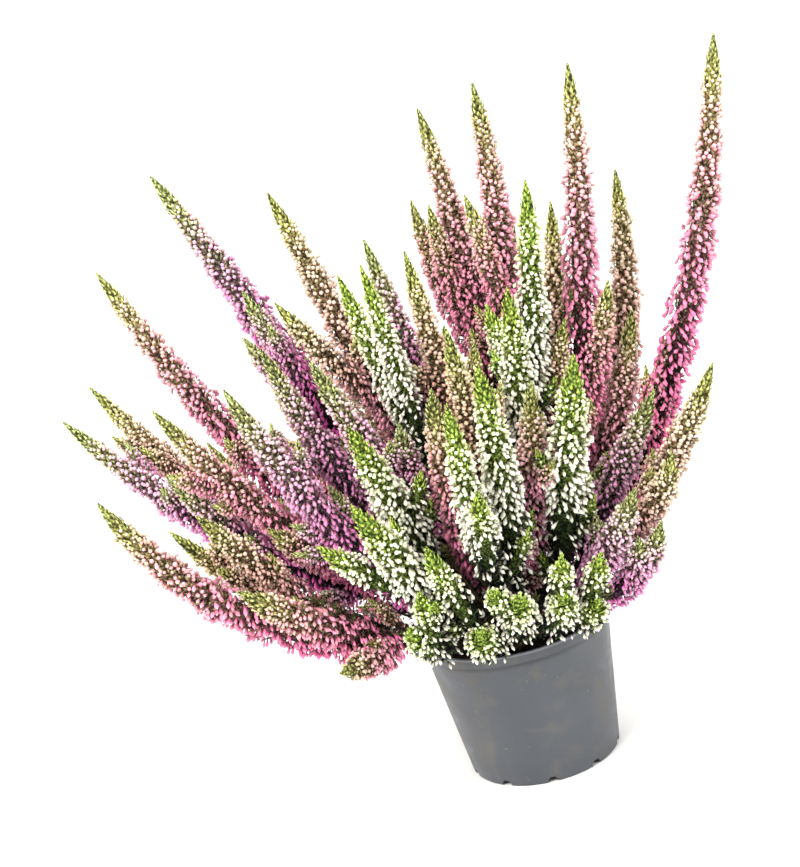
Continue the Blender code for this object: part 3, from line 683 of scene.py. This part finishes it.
class Greenery:
    """One plant piece: points, triangles and colour keys, gathered from many little parts.

    A point's colour key holds its age by its place on the spike, its place along the bud or leaf, a number
    drawn for that bud or leaf, and a number drawn for the whole stem.
    """

    def __init__(self, draw):
        self.points, self.faces, self.keys, self.slots, self.count = [], [], [], [], 0
        self.draw, self.stem_number = draw, 0.5

    def add(self, points, faces, keys, slot):
        self.points.append(points)
        self.faces.append(faces + self.count)
        self.keys.append(keys)
        self.slots.append(np.full(len(faces), slot))
        self.count += len(points)

    def tube(self, path, ts, radii, sides, age, drawn):
        """A stem's round body: rings along the path, closed by a point at each end."""
        rings, turn = len(ts), 2.0 * pi * np.arange(sides) / sides
        place, _, out, _ = path.around(np.repeat(ts, sides), np.tile(turn, rings))
        ring_points = place + out * np.repeat(radii, sides)[:, None]
        k = np.arange(rings * sides).reshape(rings, sides)
        nxt = np.roll(k, -1, axis=1)
        parts = [(k[:-1], nxt[:-1], nxt[1:]), (k[:-1], nxt[1:], k[1:]),
                 (nxt[0], k[0], np.full(sides, k.size)), (k[-1], nxt[-1], np.full(sides, k.size + 1))]
        keys = np.empty((k.size + 2, 4))
        keys[:, 0] = *np.repeat(age, sides), age[0], age[-1]
        keys[:, 1:] = 0.5, drawn, self.stem_number
        self.add(np.vstack([ring_points, path.at(ts[[0, -1]])]),
                 np.vstack([np.stack(part, -1).reshape(-1, 3) for part in parts]), keys, 1)

    def set_round(self, form, path, t, turn, lean, size, outer, age, slot=0, drift=0.0, droop=0.0):
        """Sets copies of a small form round a stem; size is each one's thickness, width and length. Each
        leans off the stem, ends at outer mm from it, may be turned aside by up to drift, and droops."""
        shape, faces = form
        place, along, out, side = path.around(t, turn)
        aside = self.draw.uniform(-drift, drift, len(t))[:, None]
        lean = lean[:, None]
        axis = np.cos(lean) * along + np.sin(lean) * (np.cos(aside) * out + np.sin(aside) * side)
        axis[:, 2] -= droop
        axis /= norm(axis, axis=1, keepdims=True)
        face = np.cross(side, axis)
        face /= norm(face, axis=1, keepdims=True)
        rise = (axis * out).sum(axis=1)
        foot = np.maximum(0.35, outer - size[:, 2] * np.maximum(rise, 0.0))[:, None]
        base = place + out * foot - along * (0.5 * size[:, 2] * (axis * along).sum(axis=1))[:, None]
        axes = np.stack([face, np.cross(axis, face), axis], axis=2)
        points = base[:, None] + np.einsum("mij,mnj->mni", axes, shape * size[:, None])
        keys = np.empty((*points.shape[:2], 4))
        keys[..., 0], keys[..., 1] = age[:, None], shape[:, 2]
        keys[..., 2], keys[..., 3] = self.draw.uniform(0.0, 1.0, len(t))[:, None], self.stem_number
        shells = faces + (np.arange(len(t)) * len(shape))[:, None, None]
        self.add(points.reshape(-1, 3), shells.reshape(-1, 3), keys.reshape(-1, 4), slot)

    def leafy(self, form, path, start, end, outer, leaf, pitch, lean, ages, finest=1.0):
        """Clothes a stem with overlapping leaves in a spiral; outer and ages run evenly from start to end.
        The last leaves have the share finest of the full size."""
        ts, lengths = path.stations(start, end)
        count = max(3, int(lengths[-1] / pitch))
        where = (np.arange(count) + self.draw.uniform(0.2, 0.8, count)) / count
        size = self.draw.uniform(0.8, 1.2, count)[:, None] * np.array([leaf[1], leaf[1], leaf[0]])
        size *= interp(where, [0.6, 1.0], [1.0, finest])[:, None]
        turn = np.arange(count) * GOLDEN + self.draw.uniform(-0.3, 0.3, count)
        outer, age = (interp(where, np.linspace(0.0, 1.0, len(run)), run) for run in (outer, ages))
        self.set_round(form, path, interp(where * lengths[-1], lengths, ts), turn,
                       lean + self.draw.uniform(-0.2, 0.2, count), size, outer, age)

    def piece(self, name, finishes, replaced):
        """Makes the object, with its materials, and has it ride on the heather and stand for its CAD node."""
        mesh = bpy.data.meshes.new(name)
        mesh.from_pydata(np.vstack(self.points) * MM, [], np.vstack(self.faces))
        mesh.polygons.foreach_set("material_index", np.concatenate(self.slots).astype(np.int32))
        keys = mesh.attributes.new("growth", "FLOAT_COLOR", "POINT")
        keys.data.foreach_set("color", np.vstack(self.keys).astype(np.float32).ravel())
        mesh.shade_smooth()
        for finish in finishes:
            mesh.materials.append(finish)
        item = link_object(name, mesh)
        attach(item, "root")
        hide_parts(replaced)


# Heather bark: thin, grey-brown and shredding on old wood, smoother and red-brown towards the young end.
BARK_OLD = "3B2C20"
BARK_YOUNG = "5C4126"
FIBRE_SIZE = 1.4286 * MM
bark, tree, shader = surface("heather stem bark")
place = node(tree, "TexCoord").outputs["Object"]
fibre = node(tree, "TexNoise", Vector=place, Scale=1.0 / FIBRE_SIZE, Detail=3.0, Roughness=0.6)
brown = node(tree, "ValToRGB", Fac=fibre, stops={0.3: BARK_OLD, 0.7: BARK_YOUNG})
bump = node(tree, "Bump", Strength=0.6, Distance=0.2 * MM, Height=fibre)
fill(tree, shader, Base_Color=brown, Normal=bump, Roughness=0.85)

# Heather leaf: a leathery, slightly waxy scale with a half-matt surface. Leaves at a spike's end are a fresh
# yellow-green, then olive, and old leaves deep in the bush a dull dark green, darkened nearly to black there
# as painted shade. Each is darker at its foot, a painted shade.
OLD_LEAF_AND_SHADE = {0.0: "9AA63A", 0.15: "62722A", 0.4: "2C3C18", 0.7: "141F0D", 1.0: "0A1006"}


def plant_surface(name):
    """A new plant material and its shader, with the four numbers of the colour keys ready to link."""
    made, tree, shader = surface(name)
    keys = node(tree, "Attribute", {"attribute_name": "growth"})
    return made, tree, shader, (*node(tree, "SeparateColor", Color=keys).outputs, keys.outputs["Alpha"])


def leaf_material(name, by_age, warmth):
    made, tree, shader, (age, along, own, stem) = plant_surface(name)
    aged = node(tree, "ValToRGB", Fac=age, stops=by_age)
    differs = node(tree, "MapRange", Value=own, To_Min=0.6, To_Max=1.4)
    hue = node(tree, "MapRange", Value=stem, To_Min=0.5 - warmth, To_Max=0.5 + warmth)
    toned = node(tree, "HueSaturation", Hue=hue, Value=differs, Color=aged)
    # Painted shade: each leaf is darker towards its foot.
    painted_foot_shade = node(tree, "ValToRGB", Fac=along, stops={0.0: "848484", 0.5: "FFFFFF"})
    shaded = node(tree, "Mix", MULTIPLY, Factor=0.9, input6=toned, input7=painted_foot_shade)
    fill(tree, shader, Base_Color=shaded, Roughness=0.48, Specular_IOR_Level=0.45)
    return made


leaf_green = leaf_material("heather leaf, leathery green", OLD_LEAF_AND_SHADE, 0.012)

grown = plan_growth()
settle(grown)
draw = default_rng(FILLER_SEED)
for crown, (x, y) in enumerate(CROWN_PLACES):
    growth = Greenery(draw)
    trunk = Path((x, y, SOIL_TOP / MM - TRUNK_ROOTED), (x, y, FORK_Z + 2.0), 0.0)
    ts = np.linspace(0.0, 1.0, 8)
    growth.tube(trunk, ts, interp(ts, *TRUNK), 14, ts * 0.0, 0.5)
    green = [(stem.path, min(1.0, stem.start + 0.02), LEAF_REACH, SHOOT_PITCH)
             for stem in grown if stem.crown == crown and not stem.owner]
    fork = np.array([x, y, FORK_Z])
    outward = atan2(y, x)
    for k in range(FILLERS):
        turn = outward + draw.uniform(-0.9, 0.9) if crown else draw.uniform(-pi, pi)
        tip = fork + towards(turn, draw.uniform(*FILLER_LEAN)) * draw.uniform(*FILLER_REACH)
        green.append((Path(fork, tip, 0.1), 1.0, 3.6, FILLER_PITCH))
    for k in range(SKIRTS if crown else 0):
        turn = outward + (k - 0.5 * (SKIRTS - 1)) * 0.3 + draw.uniform(-0.1, 0.1)
        tip = fork + towards(turn, draw.uniform(*SKIRT_LEAN)) * draw.uniform(*SKIRT_REACH)
        green.append((Path(fork, tip, 0.12), 1.0, 3.2, FILLER_PITCH))
    green += [(Path(fork, tip, 0.2), 1.0, 3.4, SHOOT_PITCH) for own, tip in OUTSIDE_SHOOTS if own == crown]
    for path, end, outer, pitch in green:
        growth.stem_number = draw.uniform()
        ts = np.linspace(0.0, end, 14)
        growth.tube(path, ts, np.linspace(*TWIG_WIDTH, 14), 6, ts * 0.0, draw.uniform())
        growth.leafy(SCALE_FORM, path, 0.03, end, [outer, outer, 0.75 * outer], SHOOT_LEAF, pitch,
                     SHOOT_LEAF_LEAN, OLD_TO_FRESH if end == 1.0 else OLD_TO_BUDS)
    growth.piece(f"leafy_crown_{crown}", [leaf_green, bark], f"crown_{crown}")

# The flowering sprays: each a spike, with its side spikes, set all round with closed buds that never open.
# Buds are largest and most coloured low down, where they also hang. Olive leaves show between them, and a
# tuft of fresh green leaves ends each spike. Short budded sprigs leave the lower half and fill the bush.
#
# In mm. Spacing goes by distance from the spike's end, and lean by place from its foot (0) to its end (1).
BUD_SPACING = ((0.0, 16.0, 40.0, 90.0, 160.0), (1.75, 2.22, 2.8, 3.28, 3.58))
BUD_SPREAD = {"pink": 1.04, "lilac": 1.02, "dusky": 1.02, "white": 1.05}
BUD_LENGTH = {"pink": 1.3, "lilac": 1.3, "dusky": 1.3, "white": 1.26}
BUD_SHAPE = (0.5, 0.66)
BUD_RISE = {"pink": 1.2, "lilac": 1.2, "dusky": 1.2, "white": 1.6}
BUD_DRIFT = 1.1
BUD_LEAN = ((0.0, 0.18, 0.5, 0.85, 1.0), (1.25, 1.2, 1.1, 0.9, 0.6))
LEAN_DRIFT = 0.5
DROOP = 1.6
# How much longer the hanging buds are, and up to what place they hang.
HANGING = {"pink": (1.28, 0.52), "lilac": (1.28, 0.52), "dusky": (1.22, 0.42), "white": (1.3, 0.58)}
BARE_FOOT = {"pink": 0.0, "lilac": 0.0, "dusky": 0.0, "white": 0.32}
BARE_FADE = 12.0
BARE_BUDS = 0.15
FOOT_LEAF = (4.6, 1.8)
FOOT_PITCH = 0.5
FOOT_OVERLAP = 8.0
# The green end of a spike and the band in which the buds begin: mm, and at most this share of the spike.
TIP_GREEN = (15.0, 0.12)
TIP_FADE = (8.0, 0.07)
CORE = (0.4, 0.68, 0.95)
CORE_RING = 12.0
CORE_CROWDING = 1.3
PACKED_SIZE = 1.7 * MM
TUFT_LEAF = (4.2, 1.6)
TUFT_PITCH = 0.4
TUFT_SPAN = (36.0, 0.3)
TUFT_WIDTH = (0.98, 1.22)
TUFT_LEAN = 0.26
TUFT_FINEST = 0.5
POINT = ((0.0, 10.0), (0.3, 1.0))
BRACT = (4.2, 1.7)
AGE_SPAN = (85.0, 0.45, 1.15)
CLUMP = 0.11
SWELL = 0.09
SWELL_LENGTH = (3.2, 4.6)
# A tall spike's share of its solid's radius, by distance from its end.
FULLNESS_AT = (0.0, 10.0, 60.0, 120.0)
FULLNESS = {"pink": (0.96, 0.96, 0.93, 0.9), "lilac": (0.96, 0.98, 0.97, 0.95),
            "dusky": (0.96, 0.98, 0.95, 0.92), "white": (0.98, 1.06, 1.0, 0.9)}
FULLEST = 10.6
TALL_SPIKE = (80.0, 130.0)
SHORT_BARE = 1.5
SPRAY_SEED = 41
SPRIGS = 4
SPRIG_FROM = (-0.06, 0.34)
SPRIG_EXTRA = (0.44, 0.52)
SPRIG_EXTRA_BELOW = 265.0
SPRIG_LENGTH = (24.0, 40.0)
SPRIG_LEAN = (0.4, 0.8)
SPRIG_RADIUS = (4.6, 5.8)
SPRIG_GAP = (11.0, 22.0)
SPRIG_FLOOR = 100.0
SPRIG_OWNER = 150.0
SPRIG_TRIES = 10

# A bud: a blunt oval, widest past its middle. X faces up and out, Z runs along the bud.
BUD_FORM = closed(
    [(0.0, 0.0, 0.0), *[(*on_circle(0.5, 0.4 * pi * k), 0.72) for k in range(5)], (0.0, 0.0, 1.0)],
    [face for k in range(5) for face in ((0, 1 + (k + 1) % 5, 1 + k), (1 + k, 1 + (k + 1) % 5, 6))])

# Closed sepals: thin, smooth and waxy, so half matt. From a spike's green end down to its foot the buds go
# from cream to pale and then to full colour, and each is darker at its stalk, a painted shade, and pale at
# its point, a painted highlight. Colours are given by age, from the spike's end (0) down to its oldest part
# (1).
BUDS_BY_AGE = {
    "pink": {0.0: "C6C67A", 0.12: "E2CCAE", 0.25: "EAB4B0", 0.45: "EEA0B8", 0.7: "F088B2", 0.95: "EC7AAC"},
    "lilac": {0.0: "C0CA7E", 0.12: "E0D4B8", 0.28: "E6B4CC", 0.5: "E294C6", 0.72: "DE76BA", 0.95: "DA60B0"},
    "dusky": {0.0: "C0C272", 0.12: "DACC9E", 0.28: "E4C6AC", 0.5: "EAB8AA", 0.72: "E8A0B0", 0.95: "E284A8"},
    "white": {0.0: "B2C262", 0.1: "D8E298", 0.24: "F2F4D2", 0.45: "F8F8E8", 0.95: "F6F6EA"},
}
# Colour of each variety's painted highlight at the bud's point.
BUD_POINT_HIGHLIGHTS = {"pink": "FCEEE9", "lilac": "FFEEF8", "dusky": "FBEFE2", "white": "FFFFFF"}
# The last, near-black colours at a spike's foot are painted shade.
LEAVES_AND_SHADE_BY_AGE = {
    "pink": {0.0: "C8CE80", 0.1: "B8BA6A", 0.2: "AA9C66", 0.5: "82784E", 0.9: "161C0C"},
    "lilac": {0.0: "C2CC84", 0.1: "B0BA70", 0.2: "9A9A6A", 0.5: "767456", 0.9: "161C0E"},
    "dusky": {0.0: "C6CE7C", 0.1: "B6BA64", 0.2: "A49C60", 0.5: "7E784C", 0.9: "181C0C"},
    "white": {0.0: "BED45C", 0.1: "AEC650", 0.25: "96B04E", 0.5: "6C843E", 0.9: "0C1408"},
}
# The inner twigs coloured as seen in shade; the near-black colours at the foot are painted shade.
CORE_AND_SHADE_BY_AGE = {
    "pink": {0.0: "B4BE68", 0.15: "B2A26C", 0.35: "B4907E", 0.6: "AA7A7C", 0.9: "38161C"},
    "lilac": {0.0: "AEBA70", 0.15: "A6A070", 0.35: "A08288", 0.6: "92648A", 0.9: "2C1828"},
    "dusky": {0.0: "B4BE66", 0.15: "AEA066", 0.35: "B09074", 0.6: "A27868", 0.9: "3A281E"},
    "white": {0.0: "A8C454", 0.15: "9CB652", 0.35: "869C4A", 0.6: "4E6232", 0.85: "0E1608"},
}
REAL_NAMES = {"pink": "rose pink", "dusky": "dusky pink"}


def bud_material(name, by_age, point):
    made, tree, shader, (age, along, own, stem) = plant_surface(name)
    older = node(tree, "Math", {"operation": "MULTIPLY_ADD"}, input0=own, input1=0.2, input2=age)
    moved = node(tree, "Math", {"operation": "ADD"}, input0=older, input1=-0.1)
    petal = node(tree, "ValToRGB", Fac=moved, stops=by_age)
    # Painted highlight: each bud is mixed towards the paler point colour over its last part, less on old
    # buds.
    pale = node(tree, "ValToRGB", Fac=along,
                stops={0.0: "000000", 0.76: "0A0A0A", 0.88: "7C7C7C", 0.97: "F0F0F0"})
    young = node(tree, "ValToRGB", Fac=age, stops={0.5: "FFFFFF", 0.9: "8C8C8C"})
    paler = node(tree, "Math", {"operation": "MULTIPLY"}, input0=pale, input1=young)
    highlighted = node(tree, "Mix", BLEND, Factor=paler, input6=petal, input7=linear(point))
    differs = node(tree, "MapRange", Value=own, To_Min=0.8, To_Max=1.06)
    rich = node(tree, "MapRange", Value=stem, To_Min=0.9, To_Max=1.08)
    toned = node(tree, "HueSaturation", Saturation=rich, Value=differs, Color=highlighted)
    # Painted shade: each bud is darker towards its stalk.
    painted_foot_shade = node(tree, "ValToRGB", Fac=along, stops={0.0: "7C6E68", 0.45: "E4DAD6", 0.72: "FFFFFF"})
    shaded = node(tree, "Mix", MULTIPLY, Factor=1.0, input6=toned, input7=painted_foot_shade)
    fill(tree, shader, Base_Color=shaded, Roughness=0.5, Specular_IOR_Level=0.4)
    return made


def core_material(name, by_age):
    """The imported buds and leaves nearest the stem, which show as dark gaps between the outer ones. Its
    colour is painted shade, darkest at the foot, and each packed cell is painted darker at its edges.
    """
    made, tree, shader, (age, *_) = plant_surface(name)
    place = node(tree, "TexCoord").outputs["Object"]
    packed = node(tree, "TexVoronoi", Vector=place, Scale=1.0 / PACKED_SIZE)
    # Painted shade: each packed cell is darker towards its edges, as the gaps between buds.
    painted_gap_shade = node(tree, "ValToRGB", Fac=packed, stops={0.1: "FFFFFF", 0.4: "B0B0B0", 0.7: "4C4C4C"})
    aged = node(tree, "ValToRGB", Fac=age, stops=by_age)
    shaded = node(tree, "Mix", MULTIPLY, Factor=1.0, input6=aged, input7=painted_gap_shade)
    bump = node(tree, "Bump", {"invert": True}, Strength=1.0, Distance=0.9 * MM, Height=packed)
    fill(tree, shader, Base_Color=shaded, Normal=bump, Roughness=0.9, Specular_IOR_Level=0.1)
    return made


finishes = {}
for variety in BUD_POINT_HIGHLIGHTS:
    real = REAL_NAMES.get(variety, variety)
    finishes[variety] = [
        leaf_material(f"young heather leaf, on {real} spikes", LEAVES_AND_SHADE_BY_AGE[variety], 0.01),
        core_material(f"shaded inner twigs, on {real} spikes", CORE_AND_SHADE_BY_AGE[variety]),
        bud_material(f"closed heather buds, {real}", BUDS_BY_AGE[variety], BUD_POINT_HIGHLIGHTS[variety]),
    ]


def clothe_spike(growth, stem, inside):
    """Sets one spike's buds, leaves and green tuft round its stem; no bud is within inside mm of its foot."""
    path, variety, radius, draw = stem.path, stem.variety, min(FULLEST, stem.radius), growth.draw
    growth.stem_number = draw.uniform()
    ts, lengths = path.stations(stem.start, 1.0)
    total = lengths[-1]
    share, from_tip = lengths / total, total - lengths
    swell = np.sin(lengths / draw.uniform(*SWELL_LENGTH) + draw.uniform(0.0, 6.3))
    swell = 1.0 + SWELL * swell * np.clip(from_tip / 60.0, 0.0, 1.0)
    tall = interp(total, TALL_SPIKE, [0.0, 1.0])
    fuller = (interp(from_tip, FULLNESS_AT, FULLNESS[variety]) - 1.0) * tall
    reach = radius * spike_width(share) * swell * (1.0 + fuller)
    age = np.clip(from_tip / min(AGE_SPAN[0] + AGE_SPAN[1] * total, AGE_SPAN[2] * total), 0.0, 1.0)
    green_end, green_fade, tuft_span = (min(m, s * total) for m, s in (TIP_GREEN, TIP_FADE, TUFT_SPAN))
    # The shaded middle, to a point at the spike's end.
    rings = max(6, int(total / CORE_RING))
    at = 1.0 - (1.0 - np.linspace(0.0, 1.0, rings)) ** CORE_CROWDING
    thick = interp(at, share, reach)
    thick *= interp(at, [0.0, 0.05, 0.6, 1.0 - 1.2 * green_end / total], [0.25, *CORE])
    thick *= interp((1.0 - at) * total, *POINT)
    growth.tube(path, interp(at, share, ts), thick, 8, interp(at, share, age), 0.5)
    # Buds, spread over the spike's surface by the golden angle, in loose clumps.
    spacing = interp(from_tip, *BUD_SPACING) * BUD_SPREAD[variety]
    density = 2.0 * pi * reach * 0.8 / (0.87 * spacing ** 2)
    density *= interp(from_tip, [green_end, green_end + green_fade], [0.0, 1.0])
    bare = inside + BARE_FOOT[variety] * total * (SHORT_BARE + (1.0 - SHORT_BARE) * tall)
    density *= interp(lengths, [bare, bare + BARE_FADE], [BARE_BUDS, 1.0]) * (lengths >= inside)
    amount = np.concatenate([[0.0], np.cumsum(0.5 * (density[1:] + density[:-1]) * np.diff(lengths))])
    count = int(amount[-1])

    def vary(low, high):
        return draw.uniform(low, high, count)

    if count > 3:
        where = interp(np.arange(count) + vary(0.1, 0.9), amount, lengths)
        t, s = interp(where, lengths, ts), where / total
        turn = np.arange(count) * GOLDEN + draw.uniform(0.0, 6.3) + vary(-0.3, 0.3)
        phase = draw.uniform(0.0, 6.3, 4)
        clump = (np.sin(2.0 * turn + 0.42 * where + phase[0]) + np.sin(3.0 * turn - 0.6 * where + phase[1])
                 + np.sin(0.9 * where + phase[2]))
        outer = interp(s, share, reach) * (1.03 + CLUMP * clump / 1.5 + vary(-0.16, 0.08))
        outer = np.maximum(outer + BUD_RISE[variety], 2.4)
        lean = interp(s, *BUD_LEAN) + vary(-LEAN_DRIFT, LEAN_DRIFT)
        long = BUD_LENGTH[variety] * interp(s, share, spacing) * vary(0.8, 1.2)
        wide = long * interp(s, [0.2, 0.6], BUD_SHAPE) * vary(0.88, 1.12)
        hang, hang_up_to = HANGING[variety]
        hangs = interp(s, [hang_up_to, hang_up_to + 0.3], [1.0, 0.0])
        long, wide = long * (1.0 + (hang - 1.0) * hangs), wide * (1.0 - 0.15 * hangs)
        droop = DROOP * (0.08 + 0.92 * hangs) * vary(0.5, 1.2)
        growth.set_round(BUD_FORM, path, t, turn, lean, np.stack([wide, wide, long], axis=1), outer,
                         interp(s, share, age), 2, BUD_DRIFT, droop)
        # Small leaves between the buds, as many as there are buds.
        where = interp(np.sort(vary(0.0, amount[-1])), amount, lengths)
        t, s = interp(where, lengths, ts), where / total
        long, wide = BRACT[0] * vary(0.75, 1.2), BRACT[1] * vary(0.8, 1.2)
        lean = 0.6 * interp(s, *BUD_LEAN) + vary(-0.25, 0.25)
        outer = interp(s, share, reach) * vary(0.9, 1.22)
        growth.set_round(SCALE_FORM, path, t, np.arange(count) * GOLDEN + phase[3], lean,
                         np.stack([wide, wide, long], axis=1), outer, interp(s, share, age))
    # Old leaves on a foot with few buds.
    if bare > inside:
        end = interp(bare + FOOT_OVERLAP, lengths, ts)
        growth.leafy(SCALE_FORM, path, stem.start, end, interp([0.0, 0.5 * bare, bare], lengths, reach),
                     FOOT_LEAF, FOOT_PITCH, SHOOT_LEAF_LEAN, [1.0, 0.85])
    # The green tuft: leaves pressed against the stem, finer and closer to it at its end.
    tuft = interp(total - tuft_span, lengths, ts)
    grid = np.linspace(tuft, 1.0, 60)
    width = interp(grid, ts, reach) * interp(grid, [tuft, 0.4 * tuft + 0.6], TUFT_WIDTH)
    width *= interp(interp(grid, ts, from_tip), *POINT)
    growth.leafy(LEAF_FORM, path, tuft, 1.0, np.maximum(0.5, width), TUFT_LEAF, TUFT_PITCH, TUFT_LEAN,
                 interp(grid, ts, age), TUFT_FINEST)


def add_sprigs(grown, draw):
    """Short budded sprigs on the lower half of each spray, each turned into the gap beside its spike."""
    ts = np.linspace(0.1, 0.95, 18)
    taken = [stem.path.at(ts) for stem in grown]
    sprigs = []
    for k, stem in enumerate(grown):
        path = stem.path
        if stem.owner or norm(path.tip - path.foot) < SPRIG_OWNER:
            continue
        others = [spots for j, spots in enumerate(taken) if j != k]
        places = np.linspace(*SPRIG_FROM, SPRIGS) + draw.uniform(-0.05, 0.05, SPRIGS)
        if stem.name.startswith("left") and path.tip[2] < SPRIG_EXTRA_BELOW:
            places = np.append(places, SPRIG_EXTRA)
        for t in stem.start + places:
            best = (inf, None)
            nearby = np.vstack(others + [sprig.path.at(ts) for sprig in sprigs[-12:]])
            for _ in range(SPRIG_TRIES):
                turn, lean = draw.uniform(0.0, 6.3), draw.uniform(*SPRIG_LEAN)
                place, along, out, _ = path.around(np.array([t]), np.array([turn]))
                way = cos(lean) * along[0] + sin(lean) * out[0]
                tip = place[0] + way * draw.uniform(*SPRIG_LENGTH)
                gap = norm(nearby - tip, axis=1).min()
                unfit = tip[2] < SPRIG_FLOOR or gap > SPRIG_GAP[1]
                score = abs(gap - SPRIG_GAP[0]) + (100.0 if unfit else 0.0)
                if score < best[0]:
                    best = (score, tip)
            if best[0] < 50.0:
                sprigs.append(Stem(stem.name, stem.crown, stem.variety, Path(path.at(t), best[1], 0.1), 0.0,
                                   draw.uniform(*SPRIG_RADIUS), stem))
    return sprigs


grown += add_sprigs(grown, default_rng(SPRAY_SEED))
for order, (name, variety, *_) in enumerate(SPRAYS):
    growth = Greenery(default_rng((SPRAY_SEED, order)))
    for stem in grown:
        if stem.name == name:
            clothe_spike(growth, stem, 0.6 * stem.owner.radius if stem.owner else 0.0)
    growth.piece(f"heather_{name}", finishes[variety], f"spray_{name}")
